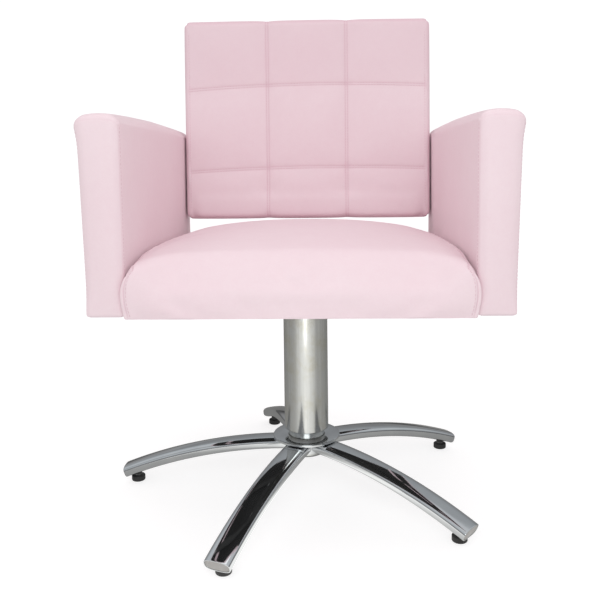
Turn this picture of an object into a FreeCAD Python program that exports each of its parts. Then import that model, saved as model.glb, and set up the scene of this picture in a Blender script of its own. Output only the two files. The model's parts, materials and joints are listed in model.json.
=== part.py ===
import FreeCAD, Part
import math
import os
import re
import Sketcher

# Styling chair: an upholstered seat, two panel arms and a low back that turn on a five-leg chromed base.
# Millimetres. +X is to the right for someone who faces the chair, which is the sitter's left, +Y is towards
# the back of the chair, +Z is up, and the origin is on the floor under the swivel axis.

PARTS_DIR = "parts"
MAX_NODES = 60

# ---------------------------------------------------------------- driving dimensions

SIZES = [
    # how far a cutting shape runs past the piece that it cuts
    ("overcut", 1),
    # star base
    ("leg_count", 5),
    ("leg_first_angle", 32.7),
    ("leg_wide", 42),
    ("leg_thick", 20),
    ("leg_wall", 1.5),
    ("leg_axis_high", 79.5),
    ("leg_arc_radius", 820),
    ("leg_arc_start", 15),
    ("leg_reach", 324.3),
    ("end_cap_thick", 2.5),
    ("end_cap_tongue", 6),
    ("end_cap_gap", 0.25),
    ("end_cap_step", 1),
    ("hub_radius", 36.2),
    ("hub_low", 68.5),
    ("plug_thick", 2.5),
    ("plug_tongue", 10),
    ("plug_edge", 1),
    ("disc_radius", 58),
    ("disc_low", 89.5),
    ("disc_thick", 4.5),
    ("disc_edge", 1.5),
    # levelling feet
    ("foot_circle_radius", 305),
    ("foot_pad_radius", 12),
    ("foot_pad_high", 9),
    ("foot_pad_edge", 2),
    ("foot_sole_edge", 1),
    ("foot_neck_radius", 7),
    ("foot_neck_high", 3.2),
    ("foot_stud_radius", 4),
    ("foot_stud_top", 28),
    ("foot_stud_buried", 5),
    ("foot_bush_radius", 6.5),
    ("foot_bush_low", 12.5),
    ("foot_bush_top", 31),
    ("foot_hole_top", 26),
    ("foot_thread_gap", 0.05),
    # fixed spindle
    ("spindle_radius", 31),
    ("spindle_wall", 3),
    ("spindle_low", 64),
    ("spindle_top", 312),
    ("spindle_cap_thick", 8),
    ("stud_radius", 10),
    ("stud_top", 354),
    ("stud_chamfer", 1),
    # thrust bearing
    ("race_bore_radius", 12.6),
    ("race_radius", 21),
    ("race_thick", 3),
    ("race_gap", 4.3),
    ("ball_radius", 3),
    ("ball_gap", 0.05),
    ("ball_circle_radius", 16.8),
    ("ball_count", 14),
    ("cage_inner_radius", 13.2),
    ("cage_outer_radius", 20.4),
    ("cage_thick", 2.4),
    ("cage_hole_gap", 0.1),
    # turning column
    ("column_radius", 38.1),
    ("column_wall", 2),
    ("column_low", 106),
    ("bush_gap", 0.05),
    ("bush_long", 30),
    ("bush_lower_low", 108),
    ("bush_upper_low", 275),
    ("head_thick", 8),
    ("washer_radius", 18),
    ("washer_thick", 2.5),
    ("washer_gap", 0.1),
    ("nut_across_flats", 30),
    ("nut_thick", 10),
    # support frame under the seat
    ("frame_low", 353),
    ("frame_thick", 5),
    ("frame_plate_wide", 200),
    ("frame_plate_hole_radius", 22),
    ("crossbar_long", 590),
    ("crossbar_wide", 40),
    ("crossbar_offset", 120),
    ("bolt_radius", 4),
    ("bolt_head_radius", 6.5),
    ("bolt_head_thick", 5.3),
    ("bolt_hole_radius", 4.5),
    ("bolt_head_room", 1.5),
    ("bolt_into_wood", 14),
    ("plate_bolt_offset", 80),
    ("insert_radius", 6),
    ("insert_bore_radius", 4.1),
    ("insert_long", 14),
    ("insert_gap", 0.05),
    ("soft_hole_radius", 7),
    # upholstery, common
    ("cover_thick", 1.5),
    ("dust_thick", 1.2),
    ("dust_margin", 4),
    # seat
    ("seat_low", 358),
    ("seat_half_wide", 249.6),
    ("seat_front", 250),
    ("seat_back", 303),
    ("seat_front_edge_high", 423),
    ("seat_front_edge_back", 8),
    ("seat_back_edge_high", 408),
    ("seat_front_bulge", 6),
    ("seat_top_bulge", 38),
    ("seat_side_high", 432),
    ("seat_cross_crown", 27),
    ("board_half_wide", 240),
    ("board_front", 238),
    ("board_back", 294),
    ("board_thick", 15),
    # arms
    ("arm_inner", 250),
    ("arm_outer_low", 304),
    ("arm_outer_high", 313),
    ("arm_side_crown", 4),
    ("arm_front", 247),
    ("arm_back", 316),
    ("arm_low", 358),
    ("arm_front_high", 641),
    ("arm_back_high", 622),
    ("arm_corner_radius", 10),
    ("arm_frame_inner", 257),
    ("arm_frame_outer", 299),
    ("arm_frame_front", 238),
    ("arm_frame_back", 307),
    ("arm_frame_top", 608),
    ("rail_high", 30),
    ("post_wide", 30),
    ("rear_post_wide", 45),
    ("skin_thick", 3),
    # backrest, in its own upright frame before it is reclined
    ("back_recline", 3.05),
    ("back_front_low", 243),
    ("back_low", 447),
    ("back_half_wide", 246.7),
    ("back_high", 395),
    ("back_thick", 50),
    ("back_roll_radius", 22),
    ("back_top_radius", 12),
    ("back_frame_front", 24),
    ("back_frame_thick", 21),
    ("back_frame_half_wide", 238),
    ("back_frame_margin", 12),
    ("back_post_wide", 45),
    ("back_rail_high", 40),
    ("back_panel_thick", 4.2),
    ("back_panel_gap", 0.5),
    ("back_bolt_depth", 35),
    ("back_bolt_low", 52),
    ("back_bolt_high", 142),
    ("back_bolt_head_seat", 280),
]

doc = FreeCAD.newDocument("StylingChair")
sheet = doc.addObject("Spreadsheet::Sheet", "Sizes")
for row, (alias, number) in enumerate(SIZES, start=1):
    sheet.set(f"A{row}", alias)
    sheet.set(f"B{row}", str(number))
    sheet.setAlias(f"B{row}", alias)
doc.recompute()

ALIASES = {alias for alias, number in SIZES}
nodes = {}


# ---------------------------------------------------------------- helpers

def bound(formula):
    """Turn a formula of aliases into an expression that reads the sheet."""
    def cell(word):
        return "Sizes." + word[0] if word[0] in ALIASES else word[0]

    return re.sub(r"[A-Za-z_]+", cell, str(formula))


def value(formula):
    """The present value of a formula of aliases."""
    return float(sheet.evalExpression(bound(formula)))


def node(item, label):
    """Register an object as one finished sub-part of the chair."""
    item.Label = label
    nodes[label] = item
    return item


def plane_of(body, role):
    return next(feature for feature in body.Origin.OriginFeatures if feature.Role == role)


def new_body(name):
    return doc.addObject("PartDesign::Body", name)


def new_sketch(body, name, role, offset=0):
    """A sketch on one of the body's own origin planes, moved along the plane's normal by a formula."""
    sketch = body.newObject("Sketcher::SketchObject", name)
    sketch.AttachmentSupport = [(plane_of(body, role), "")]
    sketch.MapMode = "FlatFace"
    sketch.setExpression("AttachmentOffset.Base.z", bound(offset))
    return sketch


def constrain(sketch, kind, *places, formula):
    """Add a dimension to a sketch and bind it to the sheet."""
    index = sketch.addConstraint(Sketcher.Constraint(kind, *places, value(formula)))
    sketch.setExpression(f"Constraints[{index}]", bound(formula))


def circle(sketch, radius, centre_x=0, centre_y=0):
    centre = FreeCAD.Vector(value(centre_x), value(centre_y), 0)
    index = sketch.addGeometry(Part.Circle(centre, FreeCAD.Vector(0, 0, 1), value(radius)))
    constrain(sketch, "Radius", index, formula=radius)
    constrain(sketch, "DistanceX", -1, 1, index, 3, formula=centre_x)
    constrain(sketch, "DistanceY", -1, 1, index, 3, formula=centre_y)


def outline(sketch, points, bulges=None):
    """A closed outline through points given as formulas.

    bulges gives, for an edge's number, how far its middle stands out as an arc to the right of its run.
    That is the outside of an outline that runs counter-clockwise; a negative bulge is hollow.
    """
    bulges = bulges or {}
    corners = [FreeCAD.Vector(value(x), value(y), 0) for x, y in points]
    edges = []
    for number, start in enumerate(corners):
        end = corners[(number + 1) % len(corners)]
        if number in bulges:
            run = end - start
            outward = FreeCAD.Vector(run.y, -run.x, 0).normalize()
            middle = (start + end) * 0.5 + outward * value(bulges[number])
            edges.append(sketch.addGeometry(Part.Arc(start, middle, end)))
        else:
            edges.append(sketch.addGeometry(Part.LineSegment(start, end)))
    ends = []
    for number, edge in enumerate(edges):
        start = corners[number]
        first = FreeCAD.Vector(*sketch.getPoint(edge, 1))
        ends.append((1, 2) if first.distanceToPoint(start) < 1e-6 else (2, 1))
    for number, edge in enumerate(edges):
        following = (number + 1) % len(edges)
        sketch.addConstraint(
            Sketcher.Constraint("Coincident", edge, ends[number][1], edges[following], ends[following][0]))
    for number, (x, y) in enumerate(points):
        constrain(sketch, "DistanceX", -1, 1, edges[number], ends[number][0], formula=x)
        constrain(sketch, "DistanceY", -1, 1, edges[number], ends[number][0], formula=y)
    for number, bulge in bulges.items():
        (x1, y1), (x2, y2) = points[number], points[(number + 1) % len(points)]
        chord_squared = f"(({x2}) - ({x1}))^2 + (({y2}) - ({y1}))^2"
        radius = f"({chord_squared}) / (8 * abs({bulge})) + abs({bulge}) / 2"
        constrain(sketch, "Radius", edges[number], formula=radius)


def rectangle(sketch, x_low, x_high, y_low, y_high):
    outline(sketch, [(x_low, y_low), (x_high, y_low), (x_high, y_high), (x_low, y_high)])


def slot(sketch, wide, thick, centre_y=0):
    """A flat-oval outline, wide along the sketch's first axis, with half-round ends."""
    radius = f"(({thick}) / 2)"
    half_flat = f"((({wide}) - ({thick})) / 2)"
    arcs = []
    for side, start_angle in ((1, -90), (-1, 90)):
        centre = FreeCAD.Vector(side * value(half_flat), value(centre_y), 0)
        whole = Part.Circle(centre, FreeCAD.Vector(0, 0, 1), value(radius))
        arc = sketch.addGeometry(
            Part.ArcOfCircle(whole, math.radians(start_angle), math.radians(start_angle + 180)))
        constrain(sketch, "Radius", arc, formula=radius)
        constrain(sketch, "DistanceX", -1, 1, arc, 3, formula=f"{side} * {half_flat}")
        constrain(sketch, "DistanceY", -1, 1, arc, 3, formula=centre_y)
        for end in (1, 2):
            sketch.addConstraint(Sketcher.Constraint("Vertical", arc, 3, arc, end))
        arcs.append(arc)
    for first, second in ((arcs[0], arcs[1]), (arcs[1], arcs[0])):
        start = sketch.getPoint(first, 2)
        end = sketch.getPoint(second, 1)
        line = sketch.addGeometry(Part.LineSegment(start, end))
        sketch.addConstraint(Sketcher.Constraint("Coincident", first, 2, line, 1))
        sketch.addConstraint(Sketcher.Constraint("Coincident", line, 2, second, 1))


def pad(body, sketch, length, name="Pad", symmetric=False, reverse=False):
    feature = body.newObject("PartDesign::Pad", name)
    feature.Profile = sketch
    feature.setExpression("Length", bound(length))
    feature.Midplane = symmetric
    feature.Reversed = reverse
    return feature


def pocket_through(body, sketch, name="Pocket"):
    """Cut the sketch's outline right through the body, both ways."""
    feature = body.newObject("PartDesign::Pocket", name)
    feature.Profile = sketch
    feature.Type = "ThroughAll"
    feature.Midplane = True
    return feature


def revolve(body, sketch, kind="PartDesign::Revolution", name="Turned"):
    """Turn a sketch on the XZ plane once round the vertical axis."""
    feature = body.newObject(kind, name)
    feature.Profile = sketch
    feature.ReferenceAxis = (sketch, ["V_Axis"])
    feature.Angle = 360
    return feature


def turned(name, points):
    """A turned piece about the swivel axis, from an outline of (radius, height) formulas."""
    body = new_body(name)
    sketch = new_sketch(body, name + "_outline", "XZ_Plane")
    outline(sketch, points)
    revolve(body, sketch)
    return body


def ring(name, inner, outer, low, high):
    return turned(name, [(inner, low), (outer, low), (outer, high), (inner, high)])


def box(name, x_low, x_high, y_low, y_high, z_low, z_high):
    item = doc.addObject("Part::Box", name)
    item.setExpression("Length", bound(f"({x_high}) - ({x_low})"))
    item.setExpression("Width", bound(f"({y_high}) - ({y_low})"))
    item.setExpression("Height", bound(f"({z_high}) - ({z_low})"))
    item.setExpression("Placement.Base.x", bound(x_low))
    item.setExpression("Placement.Base.y", bound(y_low))
    item.setExpression("Placement.Base.z", bound(z_low))
    return item


def rod(name, radius, length, place):
    """A cylinder that starts at a placement's base and runs along its own Z."""
    item = doc.addObject("Part::Cylinder", name)
    item.setExpression("Radius", bound(radius))
    item.setExpression("Height", bound(length))
    item.Placement = place
    return item


def group(name, items):
    item = doc.addObject("Part::Compound", name)
    item.Links = items
    return item


def cut(name, base, tools):
    """The base with every tool's volume taken away."""
    item = doc.addObject("Part::Cut", name)
    item.Base = base
    item.Tool = tools[0] if len(tools) == 1 else fuse(name + "_tools", tools)
    return item


def fuse(name, items):
    item = doc.addObject("Part::MultiFuse", name)
    item.Shapes = items
    return item


def upright(x, y, z):
    """A placement whose Z points up, at a point."""
    return FreeCAD.Placement(FreeCAD.Vector(x, y, z), FreeCAD.Rotation())


def sideways(x, y, z, side):
    """A placement whose Z points towards the chair's middle from the side it is on."""
    turn = FreeCAD.Rotation(FreeCAD.Vector(0, 1, 0), -90 * side)
    return FreeCAD.Placement(FreeCAD.Vector(x, y, z), turn)


def about_axis(degrees):
    """A turn round the swivel axis."""
    return FreeCAD.Placement(FreeCAD.Vector(), FreeCAD.Rotation(FreeCAD.Vector(0, 0, 1), degrees))


def leg_angles():
    count = int(value("leg_count"))
    return [value("leg_first_angle") + 360 / count * index for index in range(count)]


# ---------------------------------------------------------------- star base

def build_hub():
    node(ring("HubRing", "spindle_radius", "hub_radius", "hub_low", "disc_low"), "base_hub")
    bore = "spindle_radius - spindle_wall"
    plug_low = "spindle_low - plug_thick"
    plug = turned("PlugTurned", [
        (0, plug_low),
        ("spindle_radius - plug_edge", plug_low),
        ("spindle_radius", f"{plug_low} + plug_edge"),
        ("spindle_radius", "spindle_low"),
        (bore, "spindle_low"),
        (bore, "spindle_low + plug_tongue"),
        (0, "spindle_low + plug_tongue"),
    ])
    node(plug, "hub_plug")
    top = "disc_low + disc_thick"
    disc = turned("DiscTurned", [
        ("spindle_radius", "disc_low"),
        ("disc_radius", "disc_low"),
        ("disc_radius", "disc_low + disc_thick - disc_edge"),
        ("disc_radius - disc_edge", top),
        ("spindle_radius", top),
    ])
    node(disc, "base_disc")


def leg_body(name):
    """A flat-oval tube on an arc that starts level at the hub, coped to the hub ring and open at its end."""
    body = new_body(name)
    path = new_sketch(body, name + "_path", "XZ_Plane")
    radius = value("leg_arc_radius")
    centre = FreeCAD.Vector(value("leg_arc_start"), value("leg_axis_high") - radius, 0)
    end_angle = math.acos((value("leg_reach") - centre.x) / radius)
    whole = Part.Circle(centre, FreeCAD.Vector(0, 0, 1), radius)
    arc = path.addGeometry(Part.ArcOfCircle(whole, end_angle, math.pi / 2))
    constrain(path, "Radius", arc, formula="leg_arc_radius")
    constrain(path, "DistanceX", -1, 1, arc, 3, formula="leg_arc_start")
    constrain(path, "DistanceY", -1, 1, arc, 3, formula="leg_axis_high - leg_arc_radius")
    constrain(path, "DistanceX", -1, 1, arc, 2, formula="leg_arc_start")
    constrain(path, "DistanceX", -1, 1, arc, 1, formula="leg_reach")

    section = new_sketch(body, name + "_section", "YZ_Plane", "leg_arc_start")
    slot(section, "leg_wide", "leg_thick", "leg_axis_high")
    slot(section, "leg_wide - 2 * leg_wall", "leg_thick - 2 * leg_wall", "leg_axis_high")
    tube = body.newObject("PartDesign::AdditivePipe", "Tube")
    tube.Profile = section
    tube.Spine = (path, ["Edge1"])

    cope = new_sketch(body, name + "_cope", "XZ_Plane")
    rectangle(cope, 0, "hub_radius", "leg_axis_high - leg_thick", "leg_axis_high + leg_thick")
    revolve(body, cope, "PartDesign::Groove", "Cope")
    return body


def end_cap_body(name):
    """A plug pushed into the tube until its flat-oval face is flush with the tube's end; it faces +X."""
    body = new_body(name)
    face = new_sketch(body, name + "_face", "YZ_Plane")
    around = "2 * (leg_wall + end_cap_gap)"
    slot(face, f"leg_wide - {around}", f"leg_thick - {around}")
    pad(body, face, "end_cap_thick", "Face", reverse=True)
    tongue = new_sketch(body, name + "_tongue", "YZ_Plane", "-end_cap_thick")
    inside = f"({around} + 2 * end_cap_step)"
    slot(tongue, f"leg_wide - {inside}", f"leg_thick - {inside}")
    pad(body, tongue, "end_cap_tongue", "Tongue", reverse=True)
    return body


def build_legs():
    radius = value("leg_arc_radius")
    end_slope = math.asin((value("leg_reach") - value("leg_arc_start")) / radius)
    end_high = value("leg_axis_high") - radius * (1 - math.cos(end_slope))
    tilt = FreeCAD.Rotation(FreeCAD.Vector(0, 1, 0), math.degrees(end_slope))
    end_place = FreeCAD.Placement(FreeCAD.Vector(value("leg_reach"), 0, end_high), tilt)
    foot_place = upright(value("foot_circle_radius"), 0, 0)
    bushes = []
    for number, angle in enumerate(leg_angles(), start=1):
        turn = about_axis(angle)
        tube = leg_body(f"LegTube{number}")
        tube.Placement = turn
        hole = rod(f"LegFootHole{number}", "foot_bush_radius", "foot_hole_top", turn * foot_place)
        node(cut(f"Leg{number}", tube, [hole]), f"leg_{number}")
        cap = end_cap_body(f"EndCap{number}")
        cap.Placement = turn * end_place
        node(cap, f"leg_end_cap_{number}")
        bush = ring(f"FootBush{number}", "foot_stud_radius + foot_thread_gap", "foot_bush_radius",
                    "foot_bush_low", "foot_bush_top")
        bush.Placement = turn * foot_place
        bushes.append(bush)
    node(group("FootBushes", bushes), "foot_bushes")


def build_feet():
    """Moulded pads on studs that screw into the leg bushes; at rest they are screwed home."""
    foot_place = upright(value("foot_circle_radius"), 0, 0)
    buried = "foot_pad_high - foot_stud_buried"
    for number, angle in enumerate(leg_angles(), start=1):
        place = about_axis(angle) * foot_place
        foot = turned(f"FootPad{number}", [
            (0, 0),
            ("foot_pad_radius - foot_sole_edge", 0),
            ("foot_pad_radius", "foot_sole_edge"),
            ("foot_pad_radius", "foot_pad_high - foot_pad_edge"),
            ("foot_pad_radius - foot_pad_edge", "foot_pad_high"),
            ("foot_stud_radius", "foot_pad_high"),
            ("foot_stud_radius", buried),
            (0, buried),
        ])
        foot.Placement = place
        node(foot, f"foot_pad_{number}")
        stud = turned(f"FootStud{number}", [
            (0, buried),
            ("foot_stud_radius", buried),
            ("foot_stud_radius", "foot_pad_high"),
            ("foot_neck_radius", "foot_pad_high"),
            ("foot_neck_radius", "foot_pad_high + foot_neck_high"),
            ("foot_stud_radius", "foot_pad_high + foot_neck_high"),
            ("foot_stud_radius", "foot_stud_top"),
            (0, "foot_stud_top"),
        ])
        stud.Placement = place
        node(stud, f"foot_stud_{number}")


# ---------------------------------------------------------------- spindle and bearing

def build_spindle():
    bore = "spindle_radius - spindle_wall"
    node(ring("SpindleTube", bore, "spindle_radius", "spindle_low", "spindle_top"), "spindle_tube")
    cap_top = "spindle_top + spindle_cap_thick"
    node(ring("SpindleCap", "stud_radius", "spindle_radius", "spindle_top", cap_top), "spindle_cap")
    stud = turned("SpindleStud", [
        (0, "spindle_top"),
        ("stud_radius", "spindle_top"),
        ("stud_radius", "stud_top - stud_chamfer"),
        ("stud_radius - stud_chamfer", "stud_top"),
        (0, "stud_top"),
    ])
    node(stud, "spindle_stud")


RACE_LOW = "spindle_top + spindle_cap_thick"
BALL_HIGH = f"{RACE_LOW} + race_thick + race_gap / 2"
RACE_HIGH = f"{RACE_LOW} + race_thick + race_gap"
HEAD_LOW = f"{RACE_HIGH} + race_thick"
HEAD_HIGH = f"{HEAD_LOW} + head_thick"


def race(name, low):
    """A flat washer with a groove for the balls."""
    body = ring(name, "race_bore_radius", "race_radius", low, f"{low} + race_thick")
    groove = new_sketch(body, name + "_groove", "XZ_Plane")
    circle(groove, "ball_radius + ball_gap", "ball_circle_radius", BALL_HIGH)
    revolve(body, groove, "PartDesign::Groove", "BallGroove")
    return body


def build_bearing():
    node(race("LowerRace", RACE_LOW), "thrust_race_lower")
    node(race("UpperRace", RACE_HIGH), "thrust_race_upper")
    cage = ring("Cage", "cage_inner_radius", "cage_outer_radius",
                f"{BALL_HIGH} - cage_thick / 2", f"{BALL_HIGH} + cage_thick / 2")
    ball_count = int(value("ball_count"))
    high = value(BALL_HIGH)
    balls = []
    holes = []
    for index in range(ball_count):
        place = about_axis(360 / ball_count * index) * upright(value("ball_circle_radius"), 0, high)
        ball = doc.addObject("Part::Sphere", f"Ball{index + 1}")
        ball.setExpression("Radius", bound("ball_radius"))
        ball.Placement = place
        balls.append(ball)
        low_place = place * upright(0, 0, -value("cage_thick"))
        holes.append(rod(f"CageHole{index + 1}", "ball_radius + cage_hole_gap", "2 * cage_thick", low_place))
    node(cut("BearingCage", cage, holes), "bearing_cage")
    node(group("BearingBalls", balls), "bearing_balls")


# ---------------------------------------------------------------- turning column

def build_column():
    bore = "column_radius - column_wall"
    node(ring("ColumnTube", bore, "column_radius", "column_low", "frame_low"), "column_tube")
    for which in ("lower", "upper"):
        low = f"bush_{which}_low"
        bush = ring(f"Bush_{which}", "spindle_radius + bush_gap", bore, low, f"{low} + bush_long")
        node(bush, f"column_bush_{which}")
    node(ring("ColumnHead", "stud_radius + bush_gap", bore, HEAD_LOW, HEAD_HIGH), "column_head")
    washer_low = f"{HEAD_HIGH} + washer_gap"
    nut_low = f"{washer_low} + washer_thick"
    node(ring("Washer", "stud_radius", "washer_radius", washer_low, nut_low), "retaining_washer")
    node(hexagon_nut("Nut", nut_low), "retaining_nut")


def hexagon_nut(name, low):
    """A hexagon nut on the spindle stud."""
    body = new_body(name)
    corner = "nut_across_flats / 2 / cos(30)"
    flat_x = "nut_across_flats / 2"
    flat_y = f"{corner} / 2"
    sketch = new_sketch(body, name + "_outline", "XY_Plane", low)
    outline(sketch, [
        (flat_x, f"-({flat_y})"), (flat_x, flat_y), (0, corner),
        (f"-({flat_x})", flat_y), (f"-({flat_x})", f"-({flat_y})"), (0, f"-({corner})"),
    ])
    circle(sketch, "stud_radius")
    pad(body, sketch, "nut_thick")
    return body


# ---------------------------------------------------------------- fasteners

def arm_middle():
    """How far from the chair's middle the arm's own screws stand."""
    return (value("arm_frame_inner") + value("arm_frame_outer")) / 2


def frame_bolt_spots():
    """Where the bolts go up through the support frame: four into the seat, four into the arms."""
    seat = value("plate_bolt_offset")
    bar = value("crossbar_offset")
    spots = [(x, y) for x in (-seat, seat) for y in (-seat, seat)]
    spots += [(x, y) for x in (-arm_middle(), arm_middle()) for y in (-bar, bar)]
    return spots


def back_place():
    """The reclined place of the backrest's own upright frame."""
    recline = FreeCAD.Rotation(FreeCAD.Vector(1, 0, 0), -value("back_recline"))
    return FreeCAD.Placement(FreeCAD.Vector(0, value("back_front_low"), value("back_low")), recline)


def back_bolt_spots():
    """Side (-1 or 1), depth and height of each bolt that holds the backrest between the arms."""
    spots = []
    for side in (-1, 1):
        for high in ("back_bolt_low", "back_bolt_high"):
            point = back_place().multVec(FreeCAD.Vector(0, value("back_bolt_depth"), value(high)))
            spots.append((side, point.y, point.z))
    return spots


def bolt(name, shank, place):
    """A cap bolt: its head is below its placement's base and its shank runs along its own Z."""
    body = new_body(name)
    sketch = new_sketch(body, name + "_outline", "XZ_Plane")
    outline(sketch, [
        (0, "-bolt_head_thick"), ("bolt_head_radius", "-bolt_head_thick"), ("bolt_head_radius", 0),
        ("bolt_radius", 0), ("bolt_radius", shank), (0, shank),
    ])
    revolve(body, sketch)
    body.Placement = place
    return body


def insert_nut(name, place):
    """A threaded bush sunk in the wood, along its placement's Z."""
    body = ring(name, "insert_bore_radius", "insert_radius", 0, "insert_long")
    body.Placement = place
    return body


FRAME_TOP = "frame_low + frame_thick"
BOARD_LOW = "seat_low + dust_thick"
ARM_WOOD_LOW = "arm_low + dust_thick"


def drills(name, radius, low, high, spots):
    """Upright clearance holes, from one height to another and an overcut past both."""
    items = []
    length = f"({high}) - ({low}) + 2 * overcut"
    for index, (x, y) in enumerate(spots, start=1):
        items.append(rod(f"{name}{index}", radius, length, upright(x, y, value(f"{low} - overcut"))))
    return items


def side_drills(name, radius, outer, inner, sides=(-1, 1)):
    """Level clearance holes for the backrest's bolts, from one distance from the middle to another."""
    items = []
    length = f"({outer}) - ({inner}) + 2 * overcut"
    for index, (side, y, z) in enumerate(back_bolt_spots(), start=1):
        if side in sides:
            place = sideways(side * value(f"{outer} + overcut"), y, z, side)
            items.append(rod(f"{name}{index}", radius, length, place))
    return items


def build_fasteners():
    bolts = []
    inserts = []
    for index, (x, y) in enumerate(frame_bolt_spots(), start=1):
        wood_low = ARM_WOOD_LOW if abs(x) > value("arm_inner") else BOARD_LOW
        shank = f"({wood_low}) - frame_low + bolt_into_wood"
        bolts.append(bolt(f"SupportBolt{index}", shank, upright(x, y, value("frame_low"))))
        inserts.append(insert_nut(f"Insert{index}", upright(x, y, value(wood_low))))
    node(group("SupportBolts", bolts), "support_bolts")
    cross_bolts = []
    for index, (side, y, z) in enumerate(back_bolt_spots(), start=1):
        shank = "back_bolt_head_seat - back_frame_half_wide + bolt_into_wood"
        head_place = sideways(side * value("back_bolt_head_seat"), y, z, side)
        cross_bolts.append(bolt(f"BackBolt{index}", shank, head_place))
        wood_place = sideways(side * value("back_frame_half_wide"), y, z, side)
        inserts.append(insert_nut(f"BackInsert{index}", wood_place))
    node(group("BackBolts", cross_bolts), "back_bolts")
    node(group("InsertNuts", inserts), "insert_nuts")


# ---------------------------------------------------------------- support frame

def build_support_frame():
    """A square plate on the column with a flat bar in front and behind that reach under both arms."""
    half = "frame_plate_wide / 2"
    plate = box("FramePlate", f"-{half}", half, f"-{half}", half, "frame_low", FRAME_TOP)
    bars = [plate]
    for side, name in ((-1, "Front"), (1, "Back")):
        low = f"{side} * crossbar_offset - crossbar_wide / 2"
        high = f"{side} * crossbar_offset + crossbar_wide / 2"
        bars.append(box(f"Crossbar{name}", "-crossbar_long / 2", "crossbar_long / 2", low, high,
                        "frame_low", FRAME_TOP))
    blank = fuse("FrameBlank", bars)
    holes = drills("FrameHole", "bolt_hole_radius", "frame_low", FRAME_TOP, frame_bolt_spots())
    centre = drills("FrameCentreHole", "frame_plate_hole_radius", "frame_low", FRAME_TOP, [(0, 0)])
    node(cut("SupportFrame", blank, holes + centre), "support_frame")


# ---------------------------------------------------------------- seat

def seat_block(name, inset, low):
    """The seat cushion's form, drawn in by an inset all round, from a given height upwards."""
    body = new_body(name)
    side = new_sketch(body, name + "_side", "YZ_Plane")
    front = f"{inset} - seat_front"
    back = f"seat_back - {inset}"
    outline(
        side,
        [(front, low), (back, low), (back, f"seat_back_edge_high - {inset}"),
         (f"{front} + seat_front_edge_back", f"seat_front_edge_high - {inset}")],
        {2: "seat_top_bulge", 3: "seat_front_bulge"})
    pad(body, side, f"2 * (seat_half_wide - {inset})", symmetric=True)
    # What stands over the arched cross line is cut away, so the sides lie lower than the middle.
    across = new_sketch(body, name + "_across", "XZ_Plane")
    half = f"(seat_half_wide - {inset})"
    edge = f"(seat_side_high - {inset})"
    above = "(seat_side_high + 3 * seat_cross_crown)"
    outline(
        across,
        [(f"-{half}", edge), (half, edge), (f"{half} + overcut", edge), (f"{half} + overcut", above),
         (f"-{half} - overcut", above), (f"-{half} - overcut", edge)],
        {0: "-seat_cross_crown"})
    pocket_through(body, across)
    return body


def build_seat():
    spots = [spot for spot in frame_bolt_spots() if abs(spot[0]) < value("arm_inner")]
    board_top = f"{BOARD_LOW} + board_thick"
    board = box("BoardBlank", "-board_half_wide", "board_half_wide", "-board_front", "board_back",
                BOARD_LOW, board_top)
    holes = drills("BoardHole", "insert_radius + insert_gap", BOARD_LOW, board_top, spots)
    node(cut("SeatBoard", board, holes), "seat_board")
    outer = seat_block("SeatOuter", 0, "seat_low")
    cavity = seat_block("SeatCavity", "cover_thick", "seat_low - overcut")
    node(cut("SeatCover", outer, [cavity]), "seat_cover")
    filling = seat_block("SeatFilling", "cover_thick", "seat_low - overcut")
    room = box("BoardRoom", "-board_half_wide", "board_half_wide", "-board_front", "board_back",
               BOARD_LOW, board_top)
    below = box("BelowFilling", "-seat_half_wide", "seat_half_wide", "-seat_front - seat_front_bulge",
                "seat_back", "seat_low - 2 * overcut", BOARD_LOW)
    node(cut("SeatFoam", filling, [room, below]), "seat_foam")


# ---------------------------------------------------------------- arms

def arm_plan(sketch, inset, outer):
    """An arm's outline seen from above: straight inside, slightly crowned outside, with rounded corners."""
    corner = "arm_corner_radius"
    corner_bulge = "arm_corner_radius * (1 - cos(45))"
    x_low = f"(arm_inner + {inset})"
    x_high = f"({outer} - {inset})"
    y_low = f"({inset} - arm_front)"
    y_high = f"(arm_back - {inset})"
    outline(
        sketch,
        [(f"{x_low} + {corner}", y_low), (f"{x_high} - {corner}", y_low),
         (x_high, f"{y_low} + {corner}"), (x_high, f"{y_high} - {corner}"),
         (f"{x_high} - {corner}", y_high), (f"{x_low} + {corner}", y_high),
         (x_low, f"{y_high} - {corner}"), (x_low, f"{y_low} + {corner}")],
        {1: corner_bulge, 2: "arm_side_crown", 3: corner_bulge, 5: corner_bulge, 7: corner_bulge})


def arm_block(name, inset, low):
    """One arm's form on the +X side, drawn in by an inset, from a given height upwards."""
    body = new_body(name)
    lean = "((arm_outer_high - arm_outer_low) / (arm_front_high - arm_low))"
    bottom = new_sketch(body, name + "_bottom", "XY_Plane", low)
    arm_plan(bottom, inset, f"(arm_outer_low + (({low}) - arm_low) * {lean})")
    top = new_sketch(body, name + "_top", "XY_Plane", "arm_front_high")
    arm_plan(top, inset, "arm_outer_high")
    loft = body.newObject("PartDesign::AdditiveLoft", "Panel")
    loft.Profile = bottom
    loft.Sections = [top]
    loft.Ruled = True
    slope = new_sketch(body, name + "_slope", "YZ_Plane")
    above = "(arm_front_high + overcut)"
    outline(
        slope,
        [("-arm_front - overcut", f"arm_front_high - {inset}"),
         ("arm_back + overcut", f"arm_back_high - {inset}"),
         ("arm_back + overcut", above), ("-arm_front - overcut", above)])
    pocket_through(body, slope)
    return body


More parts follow.
